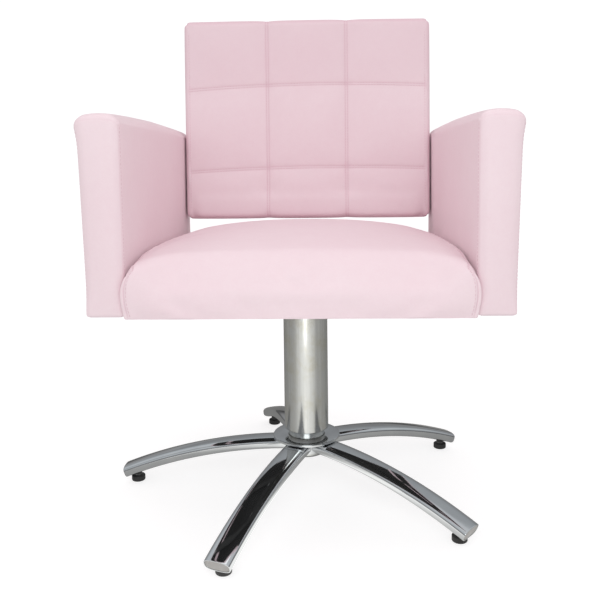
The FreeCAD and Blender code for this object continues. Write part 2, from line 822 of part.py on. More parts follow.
def arm_frame_parts(name):
    """Bottom and top rails, front and rear posts, and a thin board on each face."""
    x_low, x_high = "(arm_frame_inner + skin_thick)", "(arm_frame_outer - skin_thick)"
    y_low, y_high = "-arm_frame_front", "arm_frame_back"
    low, high = ARM_WOOD_LOW, "arm_frame_top"
    inside_low, inside_high = f"{low} + rail_high", "arm_frame_top - rail_high"
    rows = [
        ("BottomRail", x_low, x_high, y_low, y_high, low, inside_low),
        ("TopRail", x_low, x_high, y_low, y_high, inside_high, high),
        ("FrontPost", x_low, x_high, y_low, "post_wide - arm_frame_front", inside_low, inside_high),
        ("RearPost", x_low, x_high, "arm_frame_back - rear_post_wide", y_high, inside_low, inside_high),
        ("InnerSkin", "arm_frame_inner", x_low, y_low, y_high, low, high),
        ("OuterSkin", x_high, "arm_frame_outer", y_low, y_high, low, high),
    ]
    return [box(name + row[0], *row[1:]) for row in rows]


def other_side(name, item):
    """The item's mirror image across the chair's middle plane."""
    image = doc.addObject("Part::Mirroring", name)
    image.Source = item
    image.Normal = FreeCAD.Vector(1, 0, 0)
    return image


def build_arms():
    spots = [spot for spot in frame_bolt_spots() if spot[0] > value("arm_inner")]
    inserts = drills("ArmInsertHole", "insert_radius + insert_gap", ARM_WOOD_LOW,
                     f"{ARM_WOOD_LOW} + insert_long", spots)
    shanks = side_drills("ArmShankHole", "bolt_hole_radius", "arm_frame_outer", "arm_frame_inner", (1,))
    heads = side_drills("ArmHeadHole", "bolt_head_radius + bolt_head_room", "arm_frame_outer",
                        "back_bolt_head_seat + overcut", (1,))
    tools = inserts + shanks + heads
    pieces = []
    for part_number, part in enumerate(arm_frame_parts("Arm")):
        pieces.append(cut(f"ArmWood{part_number}", part, tools))
    frame = group("ArmFrameRight", pieces)
    soft_holes = side_drills("ArmSoftHole", "soft_hole_radius", "arm_frame_inner", "arm_inner", (1,))

    outer = arm_block("ArmOuter", 0, "arm_low")
    cavity = arm_block("ArmCavity", "cover_thick", "arm_low - overcut")
    cover = cut("ArmCoverRight", outer, [cavity] + soft_holes)
    filling = arm_block("ArmFilling", "cover_thick", ARM_WOOD_LOW)
    room = box("ArmRoom", "arm_frame_inner", "arm_frame_outer", "-arm_frame_front", "arm_frame_back",
               f"{ARM_WOOD_LOW} - overcut", "arm_frame_top")
    foam = cut("ArmFoamRight", filling, [room] + soft_holes)
    for label, right in (("arm_frame", frame), ("arm_cover", cover), ("arm_foam", foam)):
        node(right, label + "_right")
        node(other_side(label + "_mirror", right), label + "_left")


# ---------------------------------------------------------------- backrest

def back_block(name, inset, rear):
    """The backrest's form, drawn in by an inset, from its front face to a given depth."""
    body = new_body(name)
    side = new_sketch(body, name + "_side", "YZ_Plane")
    front = f"{inset}"
    low = f"{inset}"
    high = f"(back_high - {inset})"
    outline(
        side,
        [(f"{front} + back_roll_radius", low), (rear, low), (rear, high),
         (f"{front} + back_top_radius", high), (front, f"{high} - back_top_radius"),
         (front, f"{low} + back_roll_radius")],
        {3: "back_top_radius * (1 - cos(45))", 5: "back_roll_radius * (1 - cos(45))"})
    pad(body, side, f"2 * (back_half_wide - {inset})", symmetric=True)
    body.Placement = back_place()
    return body


def back_box(name, x_low, x_high, y_low, y_high, z_low, z_high):
    """A box in the backrest's own frame, set at its recline."""
    item = box(name, x_low, x_high, y_low, y_high, z_low, z_high)
    holder = group(name + "Reclined", [item])
    holder.Placement = back_place()
    return holder


def build_back():
    frame_back = "(back_frame_front + back_frame_thick)"
    low, high = "back_frame_margin", "(back_high - back_frame_margin)"
    half = "back_frame_half_wide"
    inside = "(back_frame_half_wide - back_post_wide)"
    rows = [
        ("RightPost", inside, half, low, high),
        ("LeftPost", f"-{half}", f"-{inside}", low, high),
        ("BottomRail", f"-{inside}", inside, low, f"{low} + back_rail_high"),
        ("TopRail", f"-{inside}", inside, f"{high} - back_rail_high", high),
    ]
    inserts = side_drills("BackInsertHole", "insert_radius + insert_gap", "back_frame_half_wide",
                          "back_frame_half_wide - insert_long")
    pieces = []
    for name, x_low, x_high, z_low, z_high in rows:
        timber = back_box("Back" + name, x_low, x_high, "back_frame_front", frame_back, z_low, z_high)
        pieces.append(cut("BackWood" + name, timber, inserts) if "Post" in name else timber)
    node(group("BackFrame", pieces), "back_frame")

    soft_holes = side_drills("BackSoftHole", "soft_hole_radius", "back_half_wide", "back_frame_half_wide")
    outer = back_block("BackOuter", 0, "back_thick")
    cavity = back_block("BackCavity", "cover_thick", "back_thick + overcut")
    node(cut("BackCover", outer, [cavity] + soft_holes), "back_cover")
    filling = back_block("BackFilling", "cover_thick", frame_back)
    room = back_box("BackRoom", f"-{half}", half, "back_frame_front", f"{frame_back} + overcut",
                    low, high)
    node(cut("BackFoam", filling, [room] + soft_holes), "back_foam")
    edge = "(cover_thick + back_panel_gap)"
    panel = back_box("BackPanel", f"{edge} - back_half_wide", f"back_half_wide - {edge}",
                     f"{frame_back}", f"{frame_back} + back_panel_thick", edge, f"back_high - {edge}")
    node(panel, "back_panel")


# ---------------------------------------------------------------- dust covers

def build_dust_covers():
    """Black cloth that closes the seat and the arms from below."""
    margin = "(cover_thick + dust_margin)"
    sheets = [
        box("SeatDust", f"{margin} - seat_half_wide", f"seat_half_wide - {margin}",
            f"{margin} - seat_front", f"seat_back - {margin}", "seat_low", BOARD_LOW),
    ]
    for side, name in ((-1, "Left"), (1, "Right")):
        ends = [f"{side} * (arm_inner + {margin})", f"{side} * (arm_outer_low - {margin})"]
        x_low, x_high = sorted(ends, key=value)
        sheets.append(box(f"ArmDust{name}", x_low, x_high, f"{margin} - arm_front", f"arm_back - {margin}",
                          "arm_low", ARM_WOOD_LOW))
    holes = drills("DustHole", "bolt_hole_radius", "seat_low", BOARD_LOW, frame_bolt_spots())
    cloths = [cut(f"DustCloth{index}", sheet_box, holes) for index, sheet_box in enumerate(sheets, start=1)]
    node(group("DustCovers", cloths), "dust_covers")


# ---------------------------------------------------------------- build, test and write

def check_and_export():
    doc.recompute()
    failed = [item.Name for item in doc.Objects if {"Invalid", "Error"} & set(item.State)]
    if failed:
        raise RuntimeError(f"objects failed to compute: {failed}")
    if len(nodes) > MAX_NODES:
        raise RuntimeError(f"{len(nodes)} nodes are more than {MAX_NODES}")
    for label, item in nodes.items():
        shape = item.Shape
        if shape.isNull() or not shape.isValid() or shape.Volume <= 0 or not shape.Solids:
            raise RuntimeError(f"sub-part {label} has no valid solid")
    os.makedirs(PARTS_DIR, exist_ok=True)
    for label, item in nodes.items():
        item.Shape.exportStep(f"{PARTS_DIR}/{label}.step")
        print(f"{label:24s} solids {len(item.Shape.Solids):3d}  volume {item.Shape.Volume / 1000:10.2f} cm3")
    print(len(nodes), "nodes")


build_hub()
build_legs()
build_feet()
build_spindle()
build_bearing()
build_column()
build_fasteners()
build_support_frame()
build_seat()
build_arms()
build_back()
build_dust_covers()
check_and_export()
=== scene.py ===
import json
import math

import bpy
import numpy as np
from mathutils import Matrix, Vector
from mathutils.bvhtree import BVHTree


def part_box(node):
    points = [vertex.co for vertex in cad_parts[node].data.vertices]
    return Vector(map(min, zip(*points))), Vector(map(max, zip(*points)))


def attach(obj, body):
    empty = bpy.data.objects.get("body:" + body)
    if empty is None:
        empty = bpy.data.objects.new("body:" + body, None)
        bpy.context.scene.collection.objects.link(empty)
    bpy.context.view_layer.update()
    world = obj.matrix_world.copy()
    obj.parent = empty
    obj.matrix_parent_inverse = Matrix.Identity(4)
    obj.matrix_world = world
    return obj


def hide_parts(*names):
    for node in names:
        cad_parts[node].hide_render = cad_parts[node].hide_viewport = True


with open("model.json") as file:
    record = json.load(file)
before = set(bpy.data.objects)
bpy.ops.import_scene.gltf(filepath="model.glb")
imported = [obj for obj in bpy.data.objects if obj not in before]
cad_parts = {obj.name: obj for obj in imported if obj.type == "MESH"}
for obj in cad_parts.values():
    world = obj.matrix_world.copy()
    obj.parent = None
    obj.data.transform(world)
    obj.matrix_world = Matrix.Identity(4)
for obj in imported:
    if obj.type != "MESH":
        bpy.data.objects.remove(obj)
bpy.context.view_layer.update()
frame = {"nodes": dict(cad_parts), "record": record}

# Styling chair. Lengths are in millimetres up to the point where a mesh is made, and in metres from there.
# +X is to the right for someone who faces the chair, +Y goes to its back and +Z is up.

MM = 0.001

# How the covers are sewn
TWIN_HALF_GAP = 2.1
STITCH_PITCH = 5.6
STITCH_LONG = 4.0
STITCH_THICK = 0.7
SEAM_DEEP = 1.0

# The back's own upright frame, as the CAD has it
BACK_RECLINE = math.radians(3.05)
PANEL_FRONT = 45.0
PANEL_THICK = 4.2
PANEL_EDGE = 2.0


# ---- places read from the frame

def box_of(node):
    """A CAD node's lowest and highest corners, in millimetres."""
    low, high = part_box(node)
    return np.array(low) / MM, np.array(high) / MM


def middle_of(node):
    low, high = box_of(node)
    return (low + high) / 2


# ---- mesh helpers

def placed(name, data):
    """A new object in the scene."""
    item = bpy.data.objects.new(name, data)
    bpy.context.collection.objects.link(item)
    return item


def new_piece(name, points, faces, material, body, smooth=True):
    """A mesh object from points in millimetres, riding on a body."""
    mesh = bpy.data.meshes.new(name)
    mesh.from_pydata((np.asarray(points) * MM).tolist(), [], [list(face) for face in faces])
    mesh.validate()
    mesh.polygons.foreach_set("use_smooth", [smooth] * len(mesh.polygons))
    mesh.materials.append(material)
    piece = placed(name, mesh)
    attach(piece, body)
    return piece


def tube_faces(rings, around, first=0):
    """Quads between rings that each have so many points, counted on from the first point."""
    faces = []
    for start in range(first, first + (rings - 1) * around, around):
        for side in range(around):
            a, b = start + side, start + (side + 1) % around
            faces.append((a, b, b + around, a + around))
    return faces


def coordinates(mesh):
    """A mesh's points in millimetres."""
    flat = np.empty(len(mesh.vertices) * 3)
    mesh.vertices.foreach_get("co", flat)
    return flat.reshape(-1, 3) / MM


def set_coordinates(mesh, points):
    mesh.vertices.foreach_set("co", (np.asarray(points) * MM).ravel())
    mesh.update()


def normals(mesh):
    flat = np.empty(len(mesh.vertices) * 3)
    mesh.vertex_normals.foreach_get("vector", flat)
    return flat.reshape(-1, 3)


def applied(piece):
    """Replace the piece's mesh by the one that its modifiers make."""
    graph = bpy.context.evaluated_depsgraph_get()
    made = bpy.data.meshes.new_from_object(piece.evaluated_get(graph))
    old = piece.data
    piece.modifiers.clear()
    piece.data = made
    made.name = old.name
    bpy.data.meshes.remove(old)


def subdivided(piece, levels):
    surface = piece.modifiers.new("Subdivision", "SUBSURF")
    surface.levels = levels
    surface.render_levels = levels
    applied(piece)
    piece.data.polygons.foreach_set("use_smooth", [True] * len(piece.data.polygons))


def smooth_step(value, start, end):
    share = np.clip((value - start) / (end - start), 0, 1)
    return share * share * (3 - 2 * share)


def fade(value, start, end):
    return 1 - smooth_step(value, start, end)


def bell(value, width):
    return np.exp(-(value / width) ** 2)


# ---- nets of quads over rounded boxes

EDGE_SHARES = (0.0, 0.42, 0.73, 1.0)
TWIN_OFFSETS = (-16, -9, -4.5, -TWIN_HALF_GAP, 0, TWIN_HALF_GAP, 4.5, 9, 16)
PLAIN_OFFSETS = (-9, -4, -1.7, 0, 1.7, 4, 9)
CLOSEST_LINES = 1.2


def grid_lines(low, high, step, edges, seams=()):
    """Where a box is cut along one axis: close together at its rounded edges and at its seams.

    edges are the two edge radii; seams are (place, offsets).
    """
    marks = [low, high]
    wanted = [place + offset for place, offsets in seams for offset in offsets]
    wanted += [low + edges[0] * share for share in EDGE_SHARES]
    wanted += [high - edges[1] * share for share in EDGE_SHARES]
    for mark in wanted:
        if low <= mark <= high and min(abs(mark - other) for other in marks) > CLOSEST_LINES:
            marks.append(mark)
    marks.sort()
    lines = []
    for start, end in zip(marks, marks[1:]):
        parts = math.ceil((end - start) / step)
        lines += [start + (end - start) * part / parts for part in range(parts)]
    return np.array(lines + [high])


def nearest_line(lines, place):
    return lines[np.argmin(np.abs(lines - place))]


def box_net(x_lines, y_lines, z_lines):
    """The quads that cover a box cut along these lines: its points and its outward faces."""
    lines = (x_lines, y_lines, z_lines)
    last = [len(line) - 1 for line in lines]
    numbers = {}
    points = []
    faces = []
    for axis in range(3):
        across, along = (axis + 1) % 3, (axis + 2) % 3
        for side in (0, last[axis]):
            for first in range(last[across]):
                for second in range(last[along]):
                    face = []
                    for step_across, step_along in ((0, 0), (1, 0), (1, 1), (0, 1)):
                        place = [0, 0, 0]
                        place[axis] = side
                        place[across] = first + step_across
                        place[along] = second + step_along
                        key = tuple(place)
                        if key not in numbers:
                            numbers[key] = len(points)
                            points.append([lines[n][key[n]] for n in range(3)])
                        face.append(numbers[key])
                    faces.append(face if side else face[::-1])
    return np.array(points), faces


def rounded(points, low, high, radius):
    """Points on a box's faces, moved in so that its edges are round. The radius may change along the box."""
    radius = np.broadcast_to(radius, (len(points),))[:, None]
    core = np.clip(points, np.array(low) + radius, np.array(high) - radius)
    out = points - core
    return core + out / np.linalg.norm(out, axis=1, keepdims=True) * radius


def corners_rounded(points, low, high, radius):
    """Points with the four corners of their outline, seen from the front, made round."""
    flat = points[:, [0, 2]]
    past = flat - np.clip(flat, np.array(low) + radius, np.array(high) - radius)
    reach = np.maximum(np.hypot(*past.T), 1e-9)
    result = points.copy()
    result[:, [0, 2]] -= past * (1 - np.abs(past).max(axis=1) / reach)[:, None]
    return result


# ---- cloth

CLOTH_FRAMES = 20
LEATHER_CLOTH = {
    "quality": 5, "mass": 0.35, "tension_stiffness": 18, "compression_stiffness": 18,
    "shear_stiffness": 8, "bending_stiffness": 1.2, "air_damping": 3,
}


def swell(piece, held, pressure, most, growth=0.0):
    """Let air pressure fill a cover between the points that are held, and cap how far a point may move."""
    start = coordinates(piece.data)
    group = piece.vertex_groups.new(name="held")
    for weight in sorted(set(held[held > 0].round(2))):
        group.add(np.flatnonzero(held.round(2) == weight).tolist(), float(weight), "REPLACE")
    cloth = piece.modifiers.new("Cloth", "CLOTH")
    for key, setting in LEATHER_CLOTH.items():
        setattr(cloth.settings, key, setting)
    cloth.settings.use_pressure = True
    cloth.settings.uniform_pressure_force = pressure
    cloth.settings.vertex_group_mass = group.name
    cloth.settings.shrink_min = -growth
    cloth.settings.effector_weights.gravity = 0
    cloth.collision_settings.use_collision = False
    cloth.point_cache.frame_start = 1
    cloth.point_cache.frame_end = CLOTH_FRAMES
    for number in range(1, CLOTH_FRAMES + 1):
        bpy.context.scene.frame_set(number)
    applied(piece)
    bpy.context.scene.frame_set(1)
    move = coordinates(piece.data) - start
    length = np.linalg.norm(move, axis=1, keepdims=True)
    move *= np.minimum(1, most / np.maximum(length, 1e-6))
    set_coordinates(piece.data, start + move)
    piece.vertex_groups.clear()


# ---- seams and stitches

def groove(distance, width=1.1):
    """How deep a sewn line draws the cover in, for a distance from it."""
    return SEAM_DEEP * bell(distance, width)


def paint_shade(piece, amount):
    """Keep how much painted shade each point gets, for the cover's colour."""
    attribute = piece.data.attributes.new("seam", "FLOAT", "POINT")
    attribute.data.foreach_set("value", np.clip(amount, 0, 1).astype(np.float32))


def draw_in(piece, depth):
    """Move each point in along its normal."""
    set_coordinates(piece.data, coordinates(piece.data) - normals(piece.data) * depth[:, None])


def line_path(net, axis, place, keep, order):
    """The points of a net on one grid line, sorted by the numbers in order."""
    on_line = np.flatnonzero((np.abs(net[:, axis] - place) < 0.01) & keep)
    return on_line[np.argsort(order[on_line])]


STITCH_SIDES = 6
STITCH_RINGS = ((-0.5, 0.25), (-0.42, 0.8), (-0.2, 1.0), (0.2, 1.0), (0.42, 0.8), (0.5, 0.25))


def stitched(name, piece, paths, thread, body, pitch=STITCH_PITCH, lift=0.12):
    """One object that holds every thread along some paths, laid on the piece's finished surface."""
    mesh = piece.data
    tree = BVHTree.FromPolygons([v.co / MM for v in mesh.vertices], [tuple(p.vertices) for p in mesh.polygons])
    points = []
    faces = []
    for path in paths:
        path = np.asarray(path)
        run = np.concatenate([[0], np.cumsum(np.linalg.norm(np.diff(path, axis=0), axis=1))])
        count = int(run[-1] / pitch)
        for number in range(count):
            at = (number + 0.5) * pitch + (run[-1] - count * pitch) / 2
            ends = [np.array([np.interp(at + shift, run, path[:, n]) for n in range(3)]) for shift in (-1, 1)]
            middle = Vector((ends[0] + ends[1]) / 2)
            ahead = Vector(ends[1] - ends[0]).normalized()
            place, normal, _, _ = tree.find_nearest(middle)
            across = normal.cross(ahead).normalized()
            ahead = across.cross(normal)
            first = len(points)
            for share, size in STITCH_RINGS:
                centre = place + normal * lift + ahead * (share * STITCH_LONG)
                for side in range(STITCH_SIDES):
                    angle = 2 * math.pi * side / STITCH_SIDES
                    rim = across * math.cos(angle) + normal * math.sin(angle)
                    points.append(centre + rim * (size * STITCH_THICK / 2))
            faces += tube_faces(len(STITCH_RINGS), STITCH_SIDES, first)
            last = first + (len(STITCH_RINGS) - 1) * STITCH_SIDES
            faces.append([first + side for side in reversed(range(STITCH_SIDES))])
            faces.append([last + side for side in range(STITCH_SIDES)])
    stitches = new_piece(name, np.array(points), faces, thread, body)
    return stitches


# ---- node trees

class Tree:
    """A node tree, with short ways to add nodes. An input takes a value or another node's output."""

    def __init__(self, tree, places):
        self.tree = tree
        self.places = self.add("ShaderNodeTexCoord").outputs[places]

    def feed(self, socket, value):
        if isinstance(value, bpy.types.NodeSocket):
            self.tree.links.new(value, socket)
        else:
            socket.default_value = value

    def add(self, kind, inputs=(), **settings):
        node = self.tree.nodes.new(kind)
        for key, setting in settings.items():
            setattr(node, key, setting)
        for name, value in dict(inputs).items():
            self.feed(node.inputs[name], value)
        return node

    def stretched(self, scale):
        """Places scaled by a different number along each axis."""
        return self.add("ShaderNodeMapping", {"Scale": scale, "Vector": self.places}).outputs["Vector"]

    def noise(self, scale, detail=2.0, roughness=0.5, places=None):
        inputs = {"Scale": scale, "Detail": detail, "Roughness": roughness, "Vector": places or self.places}
        return self.add("ShaderNodeTexNoise", inputs).outputs["Fac"]

    def cells(self, scale):
        return self.add("ShaderNodeTexVoronoi", {"Scale": scale, "Vector": self.places}).outputs["Distance"]

    def spread(self, value, low, high, start=0.3, end=0.7, **settings):
        """A value spread between two numbers."""
        inputs = {"Value": value, "From Min": start, "From Max": end, "To Min": low, "To Max": high}
        return self.add("ShaderNodeMapRange", inputs, **settings).outputs["Result"]

    def mixed(self, share, first, second):
        """Two colours mixed; each is a colour or a socket."""
        node = self.add("ShaderNodeMix", {"Factor": share}, data_type="RGBA")
        for name, colour in (("A_Color", first), ("B_Color", second)):
            socket = next(s for s in node.inputs if s.identifier == name)
            self.feed(socket, (*colour, 1.0) if isinstance(colour, tuple) else colour)
        return next(s for s in node.outputs if s.identifier == "Result_Color")

    def tones(self, value, first, second):
        """A colour between two tones, by a texture's value."""
        return self.mixed(self.spread(value, 0.0, 1.0), first, second)

    def math(self, operation, first, second=0.0):
        return self.add("ShaderNodeMath", {0: first, 1: second}, operation=operation).outputs["Value"]

    def bump(self, height, distance, strength=1.0, under=None):
        inputs = {"Distance": distance, "Strength": strength, "Height": height}
        if under:
            inputs["Normal"] = under
        return self.add("ShaderNodeBump", inputs).outputs["Normal"]

    def by_ray(self, seen, mirrored, other):
        """One shader for what the camera sees, one for what metal mirrors and one for all other light."""
        path = self.add("ShaderNodeLightPath")
        shader = other
        for output, match in (("Is Glossy Ray", mirrored), ("Is Camera Ray", seen)):
            shader = self.add("ShaderNodeMixShader", {
                "Fac": path.outputs[output], 1: shader, 2: match}).outputs["Shader"]
        return shader


class Nodes(Tree):
    """A material's node tree, round its Principled shader."""

    def __init__(self, name):
        self.material = bpy.data.materials.new(name)
        self.material.use_nodes = True
        super().__init__(self.material.node_tree, "Object")
        self.shader = self.tree.nodes["Principled BSDF"]

    def shade(self, **values):
        """Give the shader's inputs values or sockets; the finished material comes back."""
        for name, value in values.items():
            self.feed(self.shader.inputs[name.replace("_", " ")], value)
        return self.material


def grey(level):
    return (level, level, level)


# ---- materials

PINK = (0.875, 0.735, 0.770)
PINK_DEEP = (0.825, 0.642, 0.692)
# Painted shade colour mixed into the covers; also the thread's darker tone
PINK_SHADE_AND_THREAD_DARK = (0.690, 0.440, 0.510)
PINK_THREAD = (0.800, 0.600, 0.655)


def leatherette():
    """Soft pink upholstery vinyl with a fine pebble grain, with painted shade mixed in where the seam mark is
    high.
    """
    made = Nodes("pink_leatherette")
    cloudy = made.spread(made.noise(7.0, 3.0), 0.0, 0.30)
    mottled = made.spread(made.noise(260.0, 3.0, 0.6), 0.0, 0.16)
    blotched = made.spread(made.noise(75.0), 0.0, 0.14)
    share = made.math("ADD", made.math("ADD", cloudy, mottled), blotched)
    # The seam attribute holds painted shade: how much darker pink goes into seam grooves, folds and edges.
    seam = made.add("ShaderNodeAttribute", attribute_name="seam").outputs["Fac"]
    pebbled = made.bump(made.cells(1150.0), 0.00010, 0.35)
    return made.shade(
        Base_Color=made.mixed(seam, made.mixed(share, PINK, PINK_DEEP), PINK_SHADE_AND_THREAD_DARK),
        Normal=made.bump(made.noise(420.0, 4.0, 0.6), 0.00018, 0.30, pebbled),
        Roughness=made.spread(made.noise(320.0, 3.0), 0.44, 0.60),
        Sheen_Weight=0.08, Sheen_Roughness=0.45, Sheen_Tint=(1.0, 0.93, 0.95, 1.0), Specular_IOR_Level=0.42)


def thread():
    made = Nodes("pink_thread")
    twist = made.noise(2400.0)
    return made.shade(
        Base_Color=made.tones(twist, PINK_THREAD, PINK_SHADE_AND_THREAD_DARK), Normal=made.bump(twist, 0.0001, 0.5),
        Roughness=0.55, Specular_IOR_Level=0.4)


def polished_chrome():
    """Mirror chrome with faint smudges and fine polishing lines."""
    made = Nodes("polished_chrome")
    smudges = made.noise(28.0, 4.0, 0.6)
    return made.shade(
        Base_Color=made.tones(smudges, (0.66, 0.67, 0.68), (0.60, 0.61, 0.625)),
        Normal=made.bump(made.noise(900.0, 3.0), 0.00001, 0.10),
        Roughness=made.spread(smudges, 0.03, 0.08), Metallic=1.0)


def satin_chrome():
    """Softly brushed chrome, with faint streaks along the tube and a warm stain here and there."""
    made = Nodes("satin_chrome")
    streaks = made.noise(1.0, 4.0, 0.65, made.stretched((260.0, 260.0, 5.0)))
    stains = made.noise(22.0, 5.0, 0.7)
    clean = made.tones(streaks, (0.63, 0.63, 0.61), (0.53, 0.535, 0.53))
    return made.shade(
        Base_Color=made.mixed(made.spread(stains, 0.0, 0.8, 0.48, 0.72), clean, (0.53, 0.51, 0.43)),
        Normal=made.bump(streaks, 0.00003, 0.3),
        Roughness=made.spread(stains, 0.13, 0.24), Metallic=1.0, Anisotropic=0.35)


def moulded(name, colour, colour_worn, roughness):
    """Plain moulded plastic, slightly uneven in tone and sheen."""
    made = Nodes(name)
    uneven = made.noise(60.0, 4.0)
    return made.shade(
        Base_Color=made.tones(uneven, colour, colour_worn),
        Normal=made.bump(made.noise(1400.0), 0.00005, 0.35),
        Roughness=made.spread(uneven, roughness, roughness + 0.14))


def painted_steel():
    made = Nodes("black_painted_steel")
    peel = made.noise(420.0)
    return made.shade(
        Base_Color=made.tones(made.noise(40.0, 4.0), grey(0.022), grey(0.040)),
        Normal=made.bump(peel, 0.0001, 0.4), Roughness=made.spread(peel, 0.32, 0.5))


def plain_steel(name, level, roughness):
    made = Nodes(name)
    lathe = made.noise(1.0, 3.0, 0.6, made.stretched((90.0, 90.0, 2200.0)))
    return made.shade(
        Base_Color=made.tones(lathe, grey(level), grey(level * 0.8)),
        Normal=made.bump(lathe, 0.00003, 0.4),
        Roughness=made.spread(lathe, roughness, roughness + 0.12), Metallic=1.0)


def timber():
    made = Nodes("frame_timber")
    rings = made.noise(1.0, 5.0, 0.65, made.stretched((70.0, 70.0, 6.0)))
    return made.shade(
        Base_Color=made.tones(rings, (0.62, 0.44, 0.26), (0.42, 0.27, 0.14)),
        Normal=made.bump(rings, 0.0003, 0.5), Roughness=made.spread(rings, 0.55, 0.75))


def seat_foam():
    made = Nodes("seat_foam")
    cells = made.cells(900.0)
    return made.shade(
        Base_Color=made.tones(cells, (0.86, 0.80, 0.62), (0.72, 0.64, 0.44)),
        Normal=made.bump(cells, 0.0006, 0.7), Roughness=0.9)


def dust_cloth():
    """Black non-woven lining."""
    made = Nodes("dust_cloth")
    fibres = made.noise(700.0, 5.0, 0.75)
    return made.shade(
        Base_Color=made.tones(fibres, grey(0.012), grey(0.035)),
        Normal=made.bump(fibres, 0.0004, 0.6), Roughness=0.93)


SKIN = leatherette()
THREAD = thread()
CHROME = polished_chrome()
SATIN = satin_chrome()
CAP_GREY = moulded("end_cap_grey", (0.50, 0.49, 0.47), (0.40, 0.39, 0.37), 0.38)
PAD_BLACK = moulded("foot_black", grey(0.016), grey(0.030), 0.42)


# ---- seat cushion

# The plain box under the crown
SEAT_TOP = 432.0
SEAT_STEP = 13
SEAT_STEP_UP = 11
# The arch from front to back along the sides
SEAT_SIDE_HIGH = 437.0
SEAT_SIDE_PEAK = -150.0
SEAT_SIDE_RUN = 380.0
SEAT_SIDE_FALL = 20.0
# The crown across it
SEAT_CROWN = 30.0
SEAT_CROWN_AT = 55.0
SEAT_CROWN_RUN = 300.0
# Edges, and where the large front roll turns into the side edge
SEAT_EDGE = 13.0
SEAT_LOW_EDGE = 4.5
SEAT_FRONT_ROLL = 62.0
SEAT_ROLL_RUN = (30, 125)
SEAT_ROLL_SIDE = (80, 12)
SEAT_ROLL_CUT = 0.78
# How far the padding stands out
SEAT_BELLY = 3.0
SEAT_BELLY_RUN = 36
SEAT_OVERLAP = 6.5
SEAT_OVERLAP_RUN = 3
SEAT_HEM = 2.5
SEAT_FRONT_OUT = 2.0
# Sewing, and the painted shade in its grooves
SEAT_SEAM_IN = 7.5
SEAT_STITCH_IN = 4
SEAT_OVER = 10000
SEAT_SEAM_SHADE = 0.5


def seat_height(x, y, half_wide):
    """The seat's top: an arch from front to back along the sides, and a crown across it."""
    side = SEAT_SIDE_HIGH - SEAT_SIDE_FALL * np.abs((y - SEAT_SIDE_PEAK) / SEAT_SIDE_RUN) ** 1.6
    crown = SEAT_CROWN * np.clip(1 - ((y - SEAT_CROWN_AT) / SEAT_CROWN_RUN) ** 2, 0, 1)
    return side + crown * (1 - np.abs(x / half_wide) ** 2.4)


def seat_edge_radius(net, half_wide, front, floor):
    """Small underneath, medium along the sides, large over the front and small at its lower corners."""
    x, y, z = net.T
    near_front = fade(y, *(front + run for run in SEAT_ROLL_RUN))
    near_side = smooth_step(np.abs(x), *(half_wide - run for run in SEAT_ROLL_SIDE))
    roll = SEAT_EDGE + (SEAT_FRONT_ROLL - SEAT_EDGE) * near_front * (1 - SEAT_ROLL_CUT * near_side)
    radius = SEAT_LOW_EDGE + (roll - SEAT_LOW_EDGE) * smooth_step(z, floor, floor + 50)
    corner = smooth_step(np.abs(x), half_wide - 20, half_wide - 5) * fade(y, front + 8, front + 30)
    corner *= fade(z, SEAT_TOP - 40, SEAT_TOP - 4)
    return radius + (SEAT_LOW_EDGE - radius) * corner


